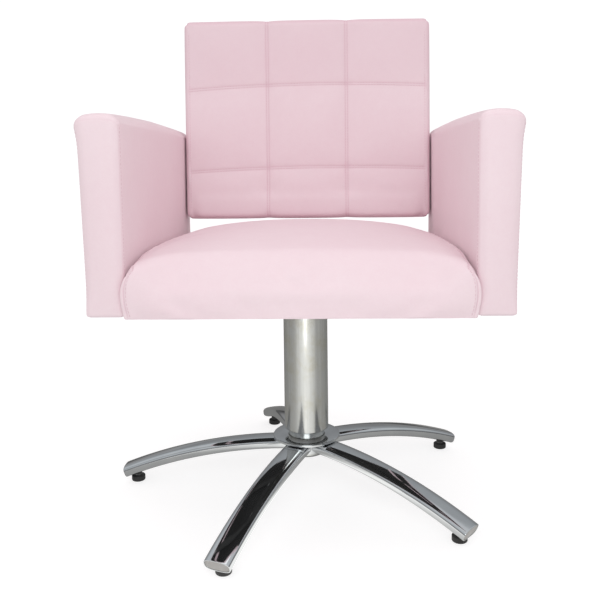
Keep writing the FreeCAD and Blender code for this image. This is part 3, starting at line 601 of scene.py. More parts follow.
def build_seat():
    low, high = box_of("seat_cover")
    arm_front = box_of("arm_cover_right")[0][1]
    half_wide, floor = high[0], low[2]
    seam_x = half_wide - SEAT_SEAM_IN
    front = low[1] - SEAT_FRONT_OUT
    seams = [(side * seam_x, PLAIN_OFFSETS) for side in (-1, 1)]
    x_lines = grid_lines(-half_wide, half_wide, SEAT_STEP, (SEAT_EDGE, SEAT_EDGE), seams)
    y_lines = grid_lines(front, high[1], SEAT_STEP, (SEAT_FRONT_ROLL, SEAT_EDGE))
    z_lines = grid_lines(floor, SEAT_TOP, SEAT_STEP_UP, (SEAT_LOW_EDGE, SEAT_FRONT_ROLL))
    net, faces = box_net(x_lines, y_lines, z_lines)
    x, y, z = net.T
    radius = seat_edge_radius(net, half_wide, front, floor)
    points = rounded(net, (-half_wide, front, floor), (half_wide, high[1], SEAT_TOP), radius)

    # The crown lifts the upper half, and the front face and the sides before the arms swell out.
    lift = seat_height(points[:, 0], points[:, 1], half_wide) - SEAT_TOP
    points[:, 2] += lift * smooth_step(points[:, 2], floor + 10, SEAT_TOP)
    up = (points[:, 2] - floor) / (SEAT_TOP - floor)
    belly = np.clip(4 * up * (1 - up), 0, 1)
    front_bulge = SEAT_BELLY * belly * fade(points[:, 1], front, front + SEAT_BELLY_RUN)
    points[:, 1] -= front_bulge * (1 - np.abs(points[:, 0] / half_wide) ** 4)
    arm_run = (arm_front - SEAT_OVERLAP_RUN, arm_front + SEAT_OVERLAP_RUN)
    near_side = smooth_step(np.abs(x), *(half_wide - run for run in SEAT_ROLL_SIDE))
    points[:, 0] += np.sign(points[:, 0]) * SEAT_OVERLAP * belly * fade(points[:, 1], *arm_run) * near_side

    outline = np.minimum(half_wide - np.abs(x), y - front)
    points[:, 2] -= SEAT_HEM * fade(outline, 2, 5) * fade(z, floor, floor + 12)

    seat = new_piece("seat_cushion", points, faces, SKIN, "seat")
    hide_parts("seat_cover", "seat_foam")

    seam_distance = np.abs(np.abs(x) - seam_x)
    held = np.where((seam_distance < 0.5) | (z < floor + 0.5) | (np.abs(x) > half_wide - 0.5), 1.0, 0.0)
    swell(seat, held, pressure=3.0, most=5.0, growth=0.01)
    depth = groove(seam_distance) * smooth_step(z, floor + 2, floor + 6)
    draw_in(seat, depth)
    # Painted shade: darker pink in the seam grooves.
    paint_shade(seat, depth / SEAM_DEEP * SEAT_SEAM_SHADE)

    settled = coordinates(seat.data)
    reach = half_wide + 0.3 + SEAT_OVERLAP * fade(settled[:, 1], *arm_run)
    settled[:, 0] = np.clip(settled[:, 0], -reach, reach)
    set_coordinates(seat.data, settled)
    up_and_over = np.where(y < front + 0.5, z, SEAT_OVER + y)
    paths = []
    for side in (-1, 1):
        line = nearest_line(x_lines, side * (seam_x - SEAT_STITCH_IN))
        paths.append(settled[line_path(net, 0, line, (z > floor + 3) & (y < high[1] - 1), up_and_over)])
    subdivided(seat, 2)
    stitched("seat_stitching", seat, paths, THREAD, "seat")


# ---- arms

ARM_THICK_LOW = 55.5
ARM_THICK_HIGH = 63.0
ARM_STEPS = (10, 14, 13)
ARM_EDGE = 13.0
ARM_LOW_EDGE = 5.0
ARM_TOP_EDGE = 13.0
# The top rises by the lift, by a crown across it and by an arch along it, and falls towards the back.
ARM_LIFT = 2.5
ARM_CROWN = 5.0
ARM_ARCH = 6.5
ARM_FALL = 24.0
# The outer side swells, most of all at its upper corner.
ARM_SIDE_CROWN = 3.0
ARM_CORNER_OUT = 3.0
ARM_CORNER_AT = 0.955
# Sewing, and the painted shade in its grooves
ARM_SEAM_IN = 7.0
ARM_STITCH_IN = 4
ARM_SEAM_DEPTH = 0.35
ARM_SEAM_SHADE = 0.12


def arm_shape(points, inner, front, back, floor, top):
    """Wider at the top, lower at the back, with a crowned top and a full upper outer corner."""
    up = (points[:, 2] - floor) / (top - floor)
    across = points[:, 0] / ARM_THICK_LOW
    along = (points[:, 1] - front) / (back - front)
    crown = ARM_CROWN * (1 - (2 * across - 1) ** 2)
    arch = ARM_ARCH * 4 * along * (1 - along)
    points[:, 2] += (ARM_LIFT + crown + arch - ARM_FALL * along) * smooth_step(up, 0.5, 1.0)
    wider = 1 + (ARM_THICK_HIGH / ARM_THICK_LOW - 1) * up
    corner = ARM_CORNER_OUT * bell(up - ARM_CORNER_AT, 0.05) * smooth_step(across, 0.55, 1.0)
    side_crown = ARM_SIDE_CROWN * smooth_step(across, 0.4, 1.0) * (1 - (2 * along - 1) ** 2)
    points[:, 0] = inner + points[:, 0] * wider + corner + side_crown
    return across


def build_arm(name, side):
    low, high = box_of("arm_cover_" + name)
    if side < 0:
        low, high = np.array([-high[0], low[1], low[2]]), np.array([-low[0], high[1], high[2]])
    inner, front, floor = low
    back, top = high[1], high[2]
    seam_front, seam_back, seam_high = front + ARM_SEAM_IN, back - ARM_SEAM_IN, top - ARM_SEAM_IN - 1
    edges = (ARM_EDGE, ARM_EDGE)
    x_lines = grid_lines(0, ARM_THICK_LOW, ARM_STEPS[0], edges)
    y_seams = [(seam_front, PLAIN_OFFSETS), (seam_back, PLAIN_OFFSETS)]
    y_lines = grid_lines(front, back, ARM_STEPS[1], edges, y_seams)
    z_seams = [(seam_high, PLAIN_OFFSETS)]
    z_lines = grid_lines(floor, top, ARM_STEPS[2], (ARM_LOW_EDGE, ARM_TOP_EDGE), z_seams)
    net, faces = box_net(x_lines, y_lines, z_lines)
    x, y, z = net.T
    radius = ARM_LOW_EDGE + (ARM_EDGE - ARM_LOW_EDGE) * smooth_step(z, floor + 5, floor + 40)
    points = rounded(net, (0, front, floor), (ARM_THICK_LOW, back, top), radius)
    across = arm_shape(points, inner, front, back, floor, top)

    piece = new_piece("arm_pad_" + name, points, faces, SKIN, "seat")
    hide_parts("arm_cover_" + name, "arm_foam_" + name)

    # A seam near each end of both sides, and one near the top of the outer side that runs on round the ends.
    on_side = smooth_step(np.abs(across - 0.5), 0.44, 0.49)
    on_end = np.maximum(fade(y, front, front + 1), smooth_step(y, back - 1, back))
    below_top = fade(z, seam_high - 1.5, seam_high + 1.5)
    inside_ends = smooth_step(y, seam_front - 1, seam_front + 1) * fade(y, seam_back - 1, seam_back + 1)
    from_ends = groove(y - seam_front) + groove(seam_back - y)
    from_top = groove(z - seam_high)
    outer = smooth_step(across, 0.5, 0.9)
    depth = on_side * (from_ends * below_top + from_top * inside_ends * outer)
    depth += on_end * from_top * (1 - on_side)

    held = np.where((depth > 0.8 * SEAM_DEEP) | (z < floor + 0.5), 1.0, 0.0)
    swell(piece, held, pressure=2.0, most=2.5)
    draw_in(piece, ARM_SEAM_DEPTH * depth)
    # Painted shade: darker pink in the seam grooves.
    paint_shade(piece, depth / SEAM_DEEP * ARM_SEAM_SHADE)
    settled = coordinates(piece.data)
    settled[:, 0] = np.maximum(settled[:, 0], inner)

    paths = []
    line = nearest_line(y_lines, seam_front + ARM_STITCH_IN)
    for edge in (0, ARM_THICK_LOW):
        keep = (np.abs(x - edge) < 0.01) & (z < seam_high - ARM_STITCH_IN + 1)
        paths.append(settled[line_path(net, 1, line, keep, z)])
    line = nearest_line(z_lines, seam_high - ARM_STITCH_IN)
    keep = np.abs(x - ARM_THICK_LOW) < 0.01
    keep &= (y > seam_front + ARM_STITCH_IN) & (y < seam_back - ARM_STITCH_IN)
    paths.append(settled[line_path(net, 2, line, keep, y)])
    if side < 0:
        settled[:, 0] *= -1
        paths = [path * np.array([-1, 1, 1]) for path in paths]
        piece.data.flip_normals()
    set_coordinates(piece.data, settled)
    subdivided(piece, 2)
    stitched("arm_stitching_" + name, piece, paths, THREAD, "seat")


# ---- backrest

BACK_STEPS = (12, 9, 12)
BACK_SIDE_EDGE = 8
BACK_REAR_EDGE = 5
BACK_TOP_EDGE = 12.0
BACK_ROLL = 30.0
BACK_CORNER = 12.0
BACK_RISE = 5.0
# Seams: two up and two across, a little bowed and askew, and one inside each side
BACK_SEAM_X = 79.5
BACK_SEAM_UPPER = 271.0
BACK_SEAM_LOWER = 104.0
BACK_SIDE_SEAM_IN = 6.0
BACK_STITCH_IN = 4
BACK_BOW = 8.0
BACK_ASKEW = 3.0
# How far the front starts sunk: everywhere, at seams, where they cross, and at the ends of the upright ones
BACK_SUNK = 1.5
BACK_SEAM_SUNK = 3.6
BACK_CROSSING_SUNK = 1.6
BACK_END_SUNK = 0.8
# Depth of the sewn lines, the painted shade in them and where they cross, and painted shade on the bottom
# roll, over the upper part, along the top rim and along the sides
BACK_SEAM_DEPTH = 0.75
BACK_BOXING_DEPTH = 0.5
BACK_SEAM_SHADE = 0.28
BACK_CROSSING_SHADE = 0.12
BACK_UNDER_SHADE = 0.45
BACK_UPPER_SHADE = 0.20
BACK_RIM_SHADE = 0.38
BACK_SIDE_SHADE = 0.25
# The panel behind it
PANEL_BORDER = 12.0
PANEL_FULL = 2.2
PANEL_SEAM_DEPTH = 0.8
PANEL_SEAM_SHADE = 0.4


def back_frame_origin():
    """Where the back's own frame starts: its front face meets its underside there."""
    low = box_of("back_panel")[0]
    sine, cosine = math.sin(BACK_RECLINE), math.cos(BACK_RECLINE)
    front = low[1] - (PANEL_FRONT * cosine + PANEL_EDGE * sine)
    bottom = low[2] + (PANEL_FRONT + PANEL_THICK) * sine - PANEL_EDGE * cosine
    return np.array([0.0, front, bottom])


def reclined(points):
    """Points of the back's own frame in the chair's frame."""
    sine, cosine = math.sin(BACK_RECLINE), math.cos(BACK_RECLINE)
    x, y, z = np.asarray(points).T
    return np.stack([x, y * cosine + z * sine, z * cosine - y * sine], axis=1) + back_frame_origin()


def build_back():
    half_wide = box_of("back_cover")[1][0]
    panel_low, panel_high = box_of("back_panel")
    tall = (panel_high[2] - panel_low[2] - PANEL_THICK * math.sin(BACK_RECLINE)) / math.cos(BACK_RECLINE)
    tall += 2 * PANEL_EDGE
    thick = PANEL_FRONT + 1.5
    side_seam = half_wide - BACK_SIDE_SEAM_IN
    x_seams = [(side * BACK_SEAM_X, TWIN_OFFSETS) for side in (-1, 1)]
    x_seams += [(side * side_seam, PLAIN_OFFSETS) for side in (-1, 1)]
    z_seams = [(BACK_SEAM_LOWER, TWIN_OFFSETS), (BACK_SEAM_UPPER, TWIN_OFFSETS)]
    x_lines = grid_lines(-half_wide, half_wide, BACK_STEPS[0], (BACK_SIDE_EDGE, BACK_SIDE_EDGE), x_seams)
    y_lines = grid_lines(0, thick, BACK_STEPS[1], (BACK_TOP_EDGE, BACK_REAR_EDGE))
    z_lines = grid_lines(0, tall, BACK_STEPS[2], (BACK_ROLL, BACK_TOP_EDGE), z_seams)
    net, faces = box_net(x_lines, y_lines, z_lines)
    x, y, z = net.T

    # The front's edge is a large roll below, and smaller at the top, at the sides and behind.
    front_edge = BACK_TOP_EDGE + (BACK_ROLL - BACK_TOP_EDGE) * fade(z, 20, 90)
    front_edge += (9 - front_edge) * smooth_step(np.abs(x), half_wide - 30, half_wide)
    radius = 4 + (front_edge - 4) * fade(y, 10, 32)
    points = rounded(net, (-half_wide, 0, 0), (half_wide, thick, tall), radius)
    points = corners_rounded(points, (-half_wide, 0), (half_wide, tall), BACK_CORNER)

    # The front starts sunk at the seams and a little less sunk between them; pressure does the rest.
    twin_x = np.abs(np.abs(x) - BACK_SEAM_X)
    twin_z = np.minimum(np.abs(z - BACK_SEAM_LOWER), np.abs(z - BACK_SEAM_UPPER))
    inside = fade(np.abs(x), side_seam - 4, side_seam)
    valley = np.maximum(bell(twin_x, 17), bell(twin_z, 17) * inside)
    crossing = bell(twin_x, 9) * bell(twin_z, 9)
    facing = fade(points[:, 1], 2, BACK_ROLL)
    points[:, 1] += facing * (BACK_SUNK + BACK_SEAM_SUNK * valley + BACK_CROSSING_SUNK * crossing)
    forward = fade(y, 20, 40) * BACK_END_SUNK * bell(twin_x, 14)
    over_top = smooth_step(points[:, 2], tall - 10, tall) * forward
    points[:, 2] += BACK_RISE * smooth_step(points[:, 2], BACK_SEAM_UPPER, tall)
    points[:, 2] -= over_top
    points[:, 2] += fade(points[:, 2], 0, 12) * forward
    sideways = points[:, 0] / half_wide
    bow = BACK_BOW * sideways ** 2 - BACK_ASKEW * sideways
    points[:, 2] -= bow * facing * bell(z - BACK_SEAM_UPPER, 90)
    points[:, 2] -= 0.8 * bow * facing * bell(z - BACK_SEAM_LOWER, 55)

    cushion = new_piece("back_cushion", points, faces, SKIN, "seat")
    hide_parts("back_cover", "back_foam")

    on_front = fade(y, 24, 38)
    twin = np.maximum(groove(twin_x - TWIN_HALF_GAP), groove(twin_z - TWIN_HALF_GAP) * inside) * on_front
    clear_of_corner = smooth_step(z, 12, 24) * fade(z, tall - 24, tall - 12)
    boxing = BACK_BOXING_DEPTH * groove(np.abs(x) - side_seam) * fade(y, 0, 2) * clear_of_corner
    depth = np.maximum(twin, boxing)
    sewn = (twin_x < TWIN_HALF_GAP + 0.1) | ((twin_z < TWIN_HALF_GAP + 0.1) & (inside > 0.5))
    held = np.where((sewn & (y < 30)) | (y > 30) | (np.abs(np.abs(x) - side_seam) < 0.5), 1.0, 0.0)
    swell(cushion, held, pressure=3.0, most=5.0)
    draw_in(cushion, BACK_SEAM_DEPTH * depth)
    # Painted shade: darker in the seam grooves and where they cross, on the bottom roll, over the upper part,
    # along the top rim and along the sides.
    painted_shade = depth / SEAM_DEEP * BACK_SEAM_SHADE + BACK_CROSSING_SHADE * crossing * on_front
    painted_shade += BACK_UNDER_SHADE * fade(z, 2, 30) * on_front
    painted_shade += BACK_UPPER_SHADE * smooth_step(z, 230, 330) + BACK_RIM_SHADE * smooth_step(z, tall - 10, tall)
    painted_shade += BACK_SIDE_SHADE * smooth_step(np.abs(x), half_wide - 8, half_wide - 1)
    paint_shade(cushion, painted_shade)

    settled = coordinates(cushion.data)
    settled[:, 1] = np.maximum(settled[:, 1], -1.5)
    paths = back_paths(net, settled, x_lines, z_lines, side_seam, tall)
    set_coordinates(cushion.data, reclined(settled))
    subdivided(cushion, 2)
    stitched("back_stitching", cushion, [reclined(path) for path in paths], THREAD, "seat")
    build_rear_panel(half_wide, tall)


def back_paths(net, settled, x_lines, z_lines, side_seam, tall):
    """The sewn lines of the back's front: two up, two across, each twice, and one near each side."""
    x, y, z = net.T
    on_front = y < 0.01
    paths = []

    def add(axis, line, keep, along):
        paths.append(settled[line_path(net, axis, line, on_front & keep, along)])

    for side in (-1, 1):
        for offset in (-TWIN_HALF_GAP, TWIN_HALF_GAP):
            add(0, nearest_line(x_lines, side * BACK_SEAM_X + offset), (z > 3) & (z < tall - 3), z)
        add(0, nearest_line(x_lines, side * (side_seam - BACK_STITCH_IN)), (z > 20) & (z < tall - 20), z)
    for seam in (BACK_SEAM_LOWER, BACK_SEAM_UPPER):
        for offset in (-TWIN_HALF_GAP, TWIN_HALF_GAP):
            add(2, nearest_line(z_lines, seam + offset), np.abs(x) < side_seam - 2, x)
    return paths


def build_rear_panel(half_wide, tall):
    """The covered board that closes the back from behind, with a sewn border."""
    wide = half_wide - PANEL_EDGE
    low = np.array([-wide, PANEL_FRONT - 1, PANEL_EDGE])
    high = np.array([wide, PANEL_FRONT + PANEL_THICK + 1.5, tall - PANEL_EDGE])
    x_seams = [(side * (wide - PANEL_BORDER), PLAIN_OFFSETS) for side in (-1, 1)]
    x_lines = grid_lines(low[0], high[0], 16, (6, 6), x_seams)
    y_lines = grid_lines(low[1], high[1], 2, (2.5, 2.5))
    z_seams = [(low[2] + PANEL_BORDER, PLAIN_OFFSETS), (high[2] - PANEL_BORDER, PLAIN_OFFSETS)]
    z_lines = grid_lines(low[2], high[2], 16, (6, 6), z_seams)
    net, faces = box_net(x_lines, y_lines, z_lines)
    x, y, z = net.T
    points = rounded(net, low, high, 2.6)
    points = corners_rounded(points, low[[0, 2]], high[[0, 2]], BACK_CORNER - PANEL_EDGE)
    outward = smooth_step(y, high[1] - 2, high[1])
    from_side = wide - np.abs(x)
    from_end = np.minimum(z - low[2], high[2] - z)
    inside = smooth_step(from_side - PANEL_BORDER, -1, 1) * smooth_step(from_end - PANEL_BORDER, -1, 1)
    border_run = (PANEL_BORDER - 2, PANEL_BORDER)
    frame_line = np.maximum(
        groove(from_side - PANEL_BORDER) * smooth_step(from_end, *border_run),
        groove(from_end - PANEL_BORDER) * smooth_step(from_side, *border_run))
    fullness = 1 - (np.abs(x) / (wide - PANEL_BORDER)) ** 4
    fullness *= 1 - np.abs(2 * (z - low[2]) / (high[2] - low[2]) - 1) ** 4
    points[:, 1] += outward * inside * PANEL_FULL * np.clip(fullness, 0, 1)
    panel = new_piece("back_panel_pad", reclined(points), faces, SKIN, "seat")
    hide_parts("back_panel")
    draw_in(panel, outward * frame_line * PANEL_SEAM_DEPTH)
    # Painted shade in the border's groove.
    paint_shade(panel, outward * frame_line / SEAM_DEEP * PANEL_SEAM_SHADE)
    subdivided(panel, 1)


# ---- metal

ROUND_SIDES = 128


def turned(name, profile, material, body, centre=(0.0, 0.0), sides=ROUND_SIDES):
    """A turned piece from a closed outline of (radius, height)."""
    points = []
    faces = []
    count = len(profile)
    for side in range(sides):
        angle = 2 * math.pi * side / sides
        for radius, high in profile:
            points.append((centre[0] + radius * math.cos(angle), centre[1] + radius * math.sin(angle), high))
    for side in range(sides):
        following = (side + 1) % sides
        for number in range(count):
            after = (number + 1) % count
            faces.append((side * count + number, following * count + number,
                          following * count + after, side * count + after))
    return new_piece(name, points, faces, material, body)


def softened(outline, radius, steps=3):
    """A closed outline with each corner turned into a small arc, as wide as its sides allow."""
    result = []
    count = len(outline)
    for number, corner in enumerate(outline):
        here = np.array(corner, float)
        before = np.array(outline[number - 1], float) - here
        after = np.array(outline[(number + 1) % count], float) - here
        reach = min(radius, np.linalg.norm(before) * 0.45, np.linalg.norm(after) * 0.45)
        start = here + before / np.linalg.norm(before) * reach
        end = here + after / np.linalg.norm(after) * reach
        for step in range(steps + 1):
            share = step / steps
            result.append(tuple(start * (1 - share) ** 2 + 2 * here * share * (1 - share) + end * share ** 2))
    return result


def ring_profile(inner, outer, low, high, edge):
    return softened([(inner, low), (outer, low), (outer, high), (inner, high)], edge)


# Piece, CAD node, wall (none: in to the fixed tube), edge, finish, slot and body
TURNED_METAL = (
    ("column_sleeve", "column_tube", 2, 0.8, SATIN, "satin_chrome", "seat"),
    ("base_flange", "base_disc", None, 1.6, CHROME, "chrome", "base"),
    ("hub_ring", "base_hub", None, 1.2, CHROME, "chrome", "base"),
    ("spindle_sleeve", "spindle_tube", 3, 0.6, SATIN, "satin_chrome", "base"),
)


def build_turned_metal():
    for name, node, wall, edge, finish, slot, body in TURNED_METAL:
        low, high = box_of(node)
        bore = high[0] - wall if wall else box_of("spindle_tube")[1][0]
        piece = turned(name, ring_profile(bore, high[0], low[2], high[2], edge), finish, body)
        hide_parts(node)


# Legs: a tube along an arc, and the outline of its section
LEG_REACH = 324.3
LEG_WIDE = 42.0
LEG_THICK = 20.0
LEG_WALL = 1.5
LEG_LIP = 0.5
LEG_INSIDE = 10.0
LEG_ARC = 820.0
LEG_ARC_START = 15.0
LEG_ROOT = 30.0
LEG_STEPS = 160
LEG_ROUNDNESS = 3.0
SECTION_STEPS = 96
# The plug's rings from its skirt to the middle of its face: how far ahead of the tube's end, and how far in
CAP_RINGS = ((-8.0, 0.0), (-1.2, 0.0), (-0.5, 0.35), (-0.25, 1.0), (0.1, 3.0), (0.3, 5.0), (0.4, 7.5))
CAP_GAP = 0.2


def leg_section(wide, thick):
    """Points round a rectangle with very round corners, spread by the way each one faces."""
    points = []
    for step in range(SECTION_STEPS):
        facing = 2 * math.pi * step / SECTION_STEPS
        angle = math.atan2(thick * math.sin(facing), wide * math.cos(facing))
        cosine, sine = math.cos(angle), math.sin(angle)
        points.append((
            wide / 2 * math.copysign(abs(cosine) ** (2 / LEG_ROUNDNESS), cosine),
            thick / 2 * math.copysign(abs(sine) ** (2 / LEG_ROUNDNESS), sine)))
    return points


def leg_frame(run, axis_high):
    """A point of a leg's centre line, straight along +X, with the directions up from it and along it."""
    slope = math.asin((run - LEG_ARC_START) / LEG_ARC)
    centre = np.array([run, 0.0, axis_high - LEG_ARC * (1 - math.cos(slope))])
    up = np.array([math.sin(slope), 0.0, math.cos(slope)])
    ahead = np.array([math.cos(slope), 0.0, -math.sin(slope)])
    return centre, up, ahead


def turn_about(points, angle):
    """Points turned round the swivel axis."""
    cosine, sine = math.cos(angle), math.sin(angle)
    x, y, z = np.asarray(points).T
    return np.stack([x * cosine - y * sine, x * sine + y * cosine, z], axis=1)


def along_leg(stations, axis_high):
    """A skin through sections of the leg; each lies so far along, ahead of that and inside the outline."""
    points = []
    for run, ahead_by, inset in stations:
        centre, up, ahead = leg_frame(run, axis_high)
        for across, high in leg_section(LEG_WIDE - 2 * inset, LEG_THICK - 2 * inset):
            points.append(centre + ahead * ahead_by + np.array([0, 1, 0]) * across + up * high)
    return points, tube_faces(len(stations), SECTION_STEPS)


def leg_mesh(axis_high):
    """A tube along the leg's arc, with a rounded lip and a short way of its inside at the open end."""
    stations = [
        (LEG_ROOT + (LEG_REACH - LEG_ROOT) * step / LEG_STEPS, 0.0, 0.0) for step in range(LEG_STEPS)]
    quarter = [math.pi / 2 * step / 4 for step in range(5)]
    lip = [(LEG_LIP * math.sin(angle) - LEG_LIP, LEG_LIP * (1 - math.cos(angle))) for angle in quarter]
    lip += [
        (LEG_LIP * math.cos(angle) - LEG_LIP, LEG_WALL - LEG_LIP + LEG_LIP * math.sin(angle))
        for angle in quarter[1:]]
    stations += [(LEG_REACH, ahead_by, inset) for ahead_by, inset in lip + [(-LEG_INSIDE, LEG_WALL)]]
    return along_leg(stations, axis_high)


def end_cap_mesh(axis_high):
    """The plug's face: a shallow dome inside the tube's lip, with its rim turned into the tube."""
    room = LEG_WALL + CAP_GAP
    stations = [(LEG_REACH, ahead_by, room + inset) for ahead_by, inset in CAP_RINGS]
    points, faces = along_leg(stations, axis_high)
    faces.append(list(range(len(points) - SECTION_STEPS, len(points))))
    return points, faces


def build_legs():
    hub_low, hub_high = box_of("base_hub")
    axis_high = (hub_low[2] + hub_high[2]) / 2 + 0.5
    for number in range(1, 6):
        pad = middle_of(f"foot_pad_{number}")
        angle = math.atan2(pad[1], pad[0])
        points, faces = leg_mesh(axis_high)
        leg = new_piece(f"leg_tube_{number}", turn_about(points, angle), faces, CHROME, "base")
        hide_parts(f"leg_{number}")
        points, faces = end_cap_mesh(axis_high)
        cap = new_piece(f"end_plug_{number}", turn_about(points, angle), faces, CAP_GREY, "base")
        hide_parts(f"leg_end_cap_{number}")
        build_pad(number, pad)


# Feet
PAD_EDGE = 1.2
PAD_SHOULDER_HIGH = 3.0
PAD_STUD_BORE = 4.05
PAD_SIDES = 48


def build_pad(number, centre):
    """A moulded levelling pad with a soft sole edge and a stepped shoulder."""
    low, high = box_of(f"foot_pad_{number}")
    radius = (high[0] - low[0]) / 2
    floor, top = low[2], high[2]
    shoulder = top + PAD_SHOULDER_HIGH
    profile = softened([
        (0.01, floor), (radius - PAD_EDGE, floor), (radius, floor + PAD_EDGE), (radius, top - 0.6),
        (radius - 1.0, top + 0.4), (7.4, top + 0.6), (7.2, shoulder), (PAD_STUD_BORE, shoulder),
        (PAD_STUD_BORE, top - 2), (0.01, top - 2),
    ], 0.7)
    place = (centre[0], centre[1])
    pad = turned(f"levelling_pad_{number}", profile, PAD_BLACK, f"foot_{number}", place, PAD_SIDES)
    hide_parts(f"foot_pad_{number}")


# ---- finishes of the CAD nodes that stay

def finish_cad_nodes():
    """Give each CAD node that stays in sight, or inside, the finish of its material slot; the foot bushes get
    black paint instead, as painted shade in the gap between pad and leg.
    """
    finishes = {
        "chrome": CHROME,
        "satin_chrome": SATIN,
        "end_cap": CAP_GREY,
        "steel": plain_steel("zinc_plated_steel", 0.55, 0.28),
        "bearing_steel": plain_steel("bearing_steel", 0.68, 0.12),
        "nylon": moulded("nylon_white", grey(0.78), grey(0.68), 0.45),
        "plug_plastic": moulded("plug_grey", grey(0.30), grey(0.24), 0.40),
        "foot_plastic": PAD_BLACK,
        "black_paint": painted_steel(),
        "leatherette": SKIN,
        "foam": seat_foam(),
        "timber": timber(),
        "dust_cloth": dust_cloth(),
    }
    slots = {row["node"]: row["material_slot"] for row in frame["record"]["subparts"]}
    for name, item in frame["nodes"].items():
        # The foot bushes' black paint is painted shade for the gap between pad and leg.
        finish = finishes["black_paint"] if name == "foot_bushes" else finishes.get(slots.get(name))
        if finish:
            for slot in item.material_slots:
                slot.material = finish


# ---- stage, light and camera

FLOOR_HALF = 9.0
FLOOR_GREY = 0.42
FLOOR_GLOW = 0.72
FLOOR_BOUNCE = 0.74
# What metal mirrors of the floor, by the angle from straight ahead: from one strength to another between two
# angles in radians; the streak also grows with the distance in metres. This is painted reflection: the floor
# glows for mirror rays only, brighter in front and in a streak that paints the highlight down the column
MIRRORED_STREAK = (1.7, 0.0, 0.03, 0.24)
MIRRORED_GLOW = (0.80, 0.0, 0.2, 1.05)
MIRRORED_SIDES = (0.50, 0.20, 1.2, 3.0)
STREAK_DISTANCE = (0.0, 1.0, 0.95, 1.9)


def build_floor():
    """A plain floor that looks white. Metal mirrors it as grey, with painted reflection: it glows brighter in
    front and in a streak ahead for mirror rays only.
    """
    mesh = bpy.data.meshes.new("studio_floor")
    corners = [(x * FLOOR_HALF, y * FLOOR_HALF, 0) for x, y in ((-1, -1), (1, -1), (1, 1), (-1, 1))]
    mesh.from_pydata(corners, [], [(0, 1, 2, 3)])
    floor = placed("studio_floor", mesh)
    made = Nodes("pale_floor")
    made.shade(
        Base_Color=(*grey(FLOOR_GREY), 1), Roughness=0.85, Specular_IOR_Level=0.1,
        Emission_Color=(1, 1, 1, 1), Emission_Strength=FLOOR_GLOW)
    parts = made.add("ShaderNodeSeparateXYZ", {0: made.places}).outputs
    distance = made.add("ShaderNodeVectorMath", {0: made.places}, operation="LENGTH").outputs["Value"]
    forward = made.math("MULTIPLY", parts["Y"], -1.0)
    aside = made.math("ABSOLUTE", made.math("ARCTAN2", parts["X"], forward))
    longer = made.spread(distance, *STREAK_DISTANCE)
    streak = made.math("MULTIPLY", made.spread(aside, *MIRRORED_STREAK), longer)
    even = made.math("ADD", made.spread(aside, *MIRRORED_SIDES), made.spread(aside, *MIRRORED_GLOW))
    # Painted reflection: emission that only mirror rays see.
    mirrored = made.add("ShaderNodeEmission", {
        "Color": (1.0, 1.0, 0.975, 1), "Strength": made.math("ADD", even, streak)})
    bounce = made.add("ShaderNodeEmission", {"Strength": FLOOR_BOUNCE})
    shader = made.by_ray(made.shader.outputs[0], mirrored.outputs[0], bounce.outputs[0])
    made.feed(made.tree.nodes["Material Output"].inputs["Surface"], shader)
    mesh.materials.append(made.material)


# What polished metal mirrors of the studio, by the sine of the height above the horizon
STUDIO_LEVELS = (
    (0.00, grey(0.10)), (0.06, grey(0.12)), (0.12, grey(0.28)),
    (0.35, (0.45, 0.465, 0.48)), (0.60, (0.62, 0.655, 0.68)), (1.00, (0.70, 0.72, 0.74)),
)
# Darker patches in it, and the strength of the soft light from in front to behind
STUDIO_PATCHES = (1.0, 0.68, 0.50, 0.60)
STUDIO_PATCH_SCALE = 1.7
FILL_STRENGTH = (0.82, 0.90, 0.5, -0.5)
FILL_COLOUR = (1.0, 0.945, 0.96, 1)
WHITE_STRENGTH = 1.05


def build_world():
    """A white studio with soft light all round; metal mirrors walls that are dark low down and in patches."""
    world = bpy.data.worlds.new("studio")
    bpy.context.scene.world = world
    world.use_nodes = True
    world.node_tree.nodes.clear()
    made = Tree(world.node_tree, "Generated")
    parts = made.add("ShaderNodeSeparateXYZ", {0: made.places}).outputs
    ramp = made.add("ShaderNodeValToRGB", {"Fac": parts["Z"]})
    levels = ramp.color_ramp.elements
    while len(levels) < len(STUDIO_LEVELS):
        levels.new(1.0)
    for level, (position, colour) in zip(levels, STUDIO_LEVELS):
        level.position = position
        level.color = (*colour, 1)
    fill_strength = made.spread(parts["Y"], *FILL_STRENGTH, interpolation_type="SMOOTHSTEP")
    patches = made.spread(made.noise(STUDIO_PATCH_SCALE, 0.0), *STUDIO_PATCHES)
    white, mirror, fill = (
        made.add("ShaderNodeBackground", {"Color": colour, "Strength": strength}).outputs[0]
        for colour, strength in (
            ((1, 1, 1, 1), WHITE_STRENGTH), (ramp.outputs["Color"], patches), (FILL_COLOUR, fill_strength)))
    made.add("ShaderNodeOutputWorld", {"Surface": made.by_ray(white, mirror, fill)})


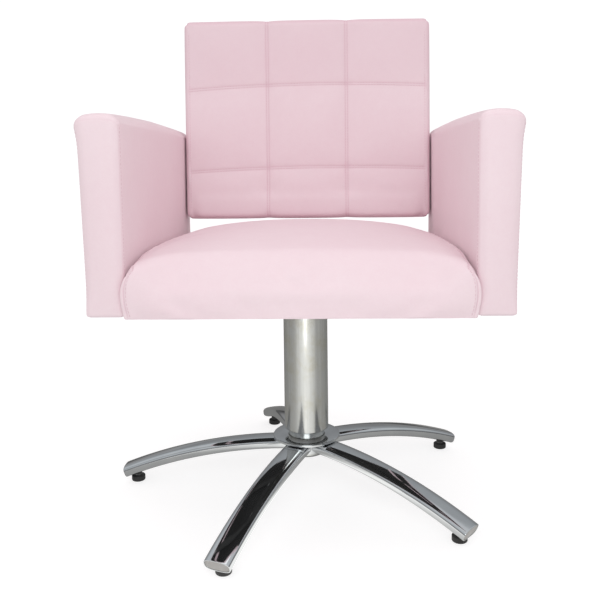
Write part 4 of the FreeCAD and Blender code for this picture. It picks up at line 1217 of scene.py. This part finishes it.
def area_light(name, place, target, wide, high, watts, colour=(1.0, 1.0, 1.0)):
    data = bpy.data.lights.new(name, "AREA")
    data.shape = "RECTANGLE"
    data.size = wide
    data.size_y = high
    data.energy = watts
    data.color = colour
    lamp = placed(name, data)
    lamp.location = place
    lamp.rotation_euler = (Vector(target) - Vector(place)).to_track_quat("-Z", "Y").to_euler()


def build_lights():
    """A small softbox above the camera and a large one high over the chair."""
    area_light("front_softbox", (0.05, -1.30, 0.98), (0, 0, 0.5), 0.8, 0.5, 3.2, (0.94, 1.0, 1.0))
    area_light("top_softbox", (0.0, 0.2, 2.8), (0, 0, 0.3), 1.6, 1.6, 4.5)


CAMERA_PLACE = (0.041, -1.333, 0.613)
CAMERA_LEFT = math.radians(1.74)
CAMERA_DOWN = math.radians(5.54)
CAMERA_ROLL = math.radians(-0.65)
CAMERA_LENS = 46.99
CAMERA_SHIFT = (-0.0074, -0.1467)


def build_camera():
    """The photograph's viewpoint: a little right of the chair's middle, just under its arms' height."""
    data = bpy.data.cameras.new("camera")
    data.sensor_width = 36.0
    data.lens = CAMERA_LENS
    data.shift_x, data.shift_y = CAMERA_SHIFT
    data.clip_start = 0.05
    camera = placed("camera", data)
    forward = Vector((
        -math.sin(CAMERA_LEFT) * math.cos(CAMERA_DOWN),
        math.cos(CAMERA_LEFT) * math.cos(CAMERA_DOWN),
        -math.sin(CAMERA_DOWN)))
    right = Vector((math.cos(CAMERA_LEFT), math.sin(CAMERA_LEFT), 0))
    up = right.cross(forward)
    rolled_right = right * math.cos(CAMERA_ROLL) + up * math.sin(CAMERA_ROLL)
    rolled_up = up * math.cos(CAMERA_ROLL) - right * math.sin(CAMERA_ROLL)
    turn = Matrix((rolled_right, rolled_up, -forward)).transposed().to_4x4()
    camera.matrix_world = Matrix.Translation(CAMERA_PLACE) @ turn
    bpy.context.scene.camera = camera


# ---- build

bpy.context.scene.view_settings.view_transform = "Standard"
build_camera()
build_floor()
build_world()
build_lights()
build_seat()
build_arm("right", 1)
build_arm("left", -1)
build_back()
build_turned_metal()
build_legs()
finish_cad_nodes()
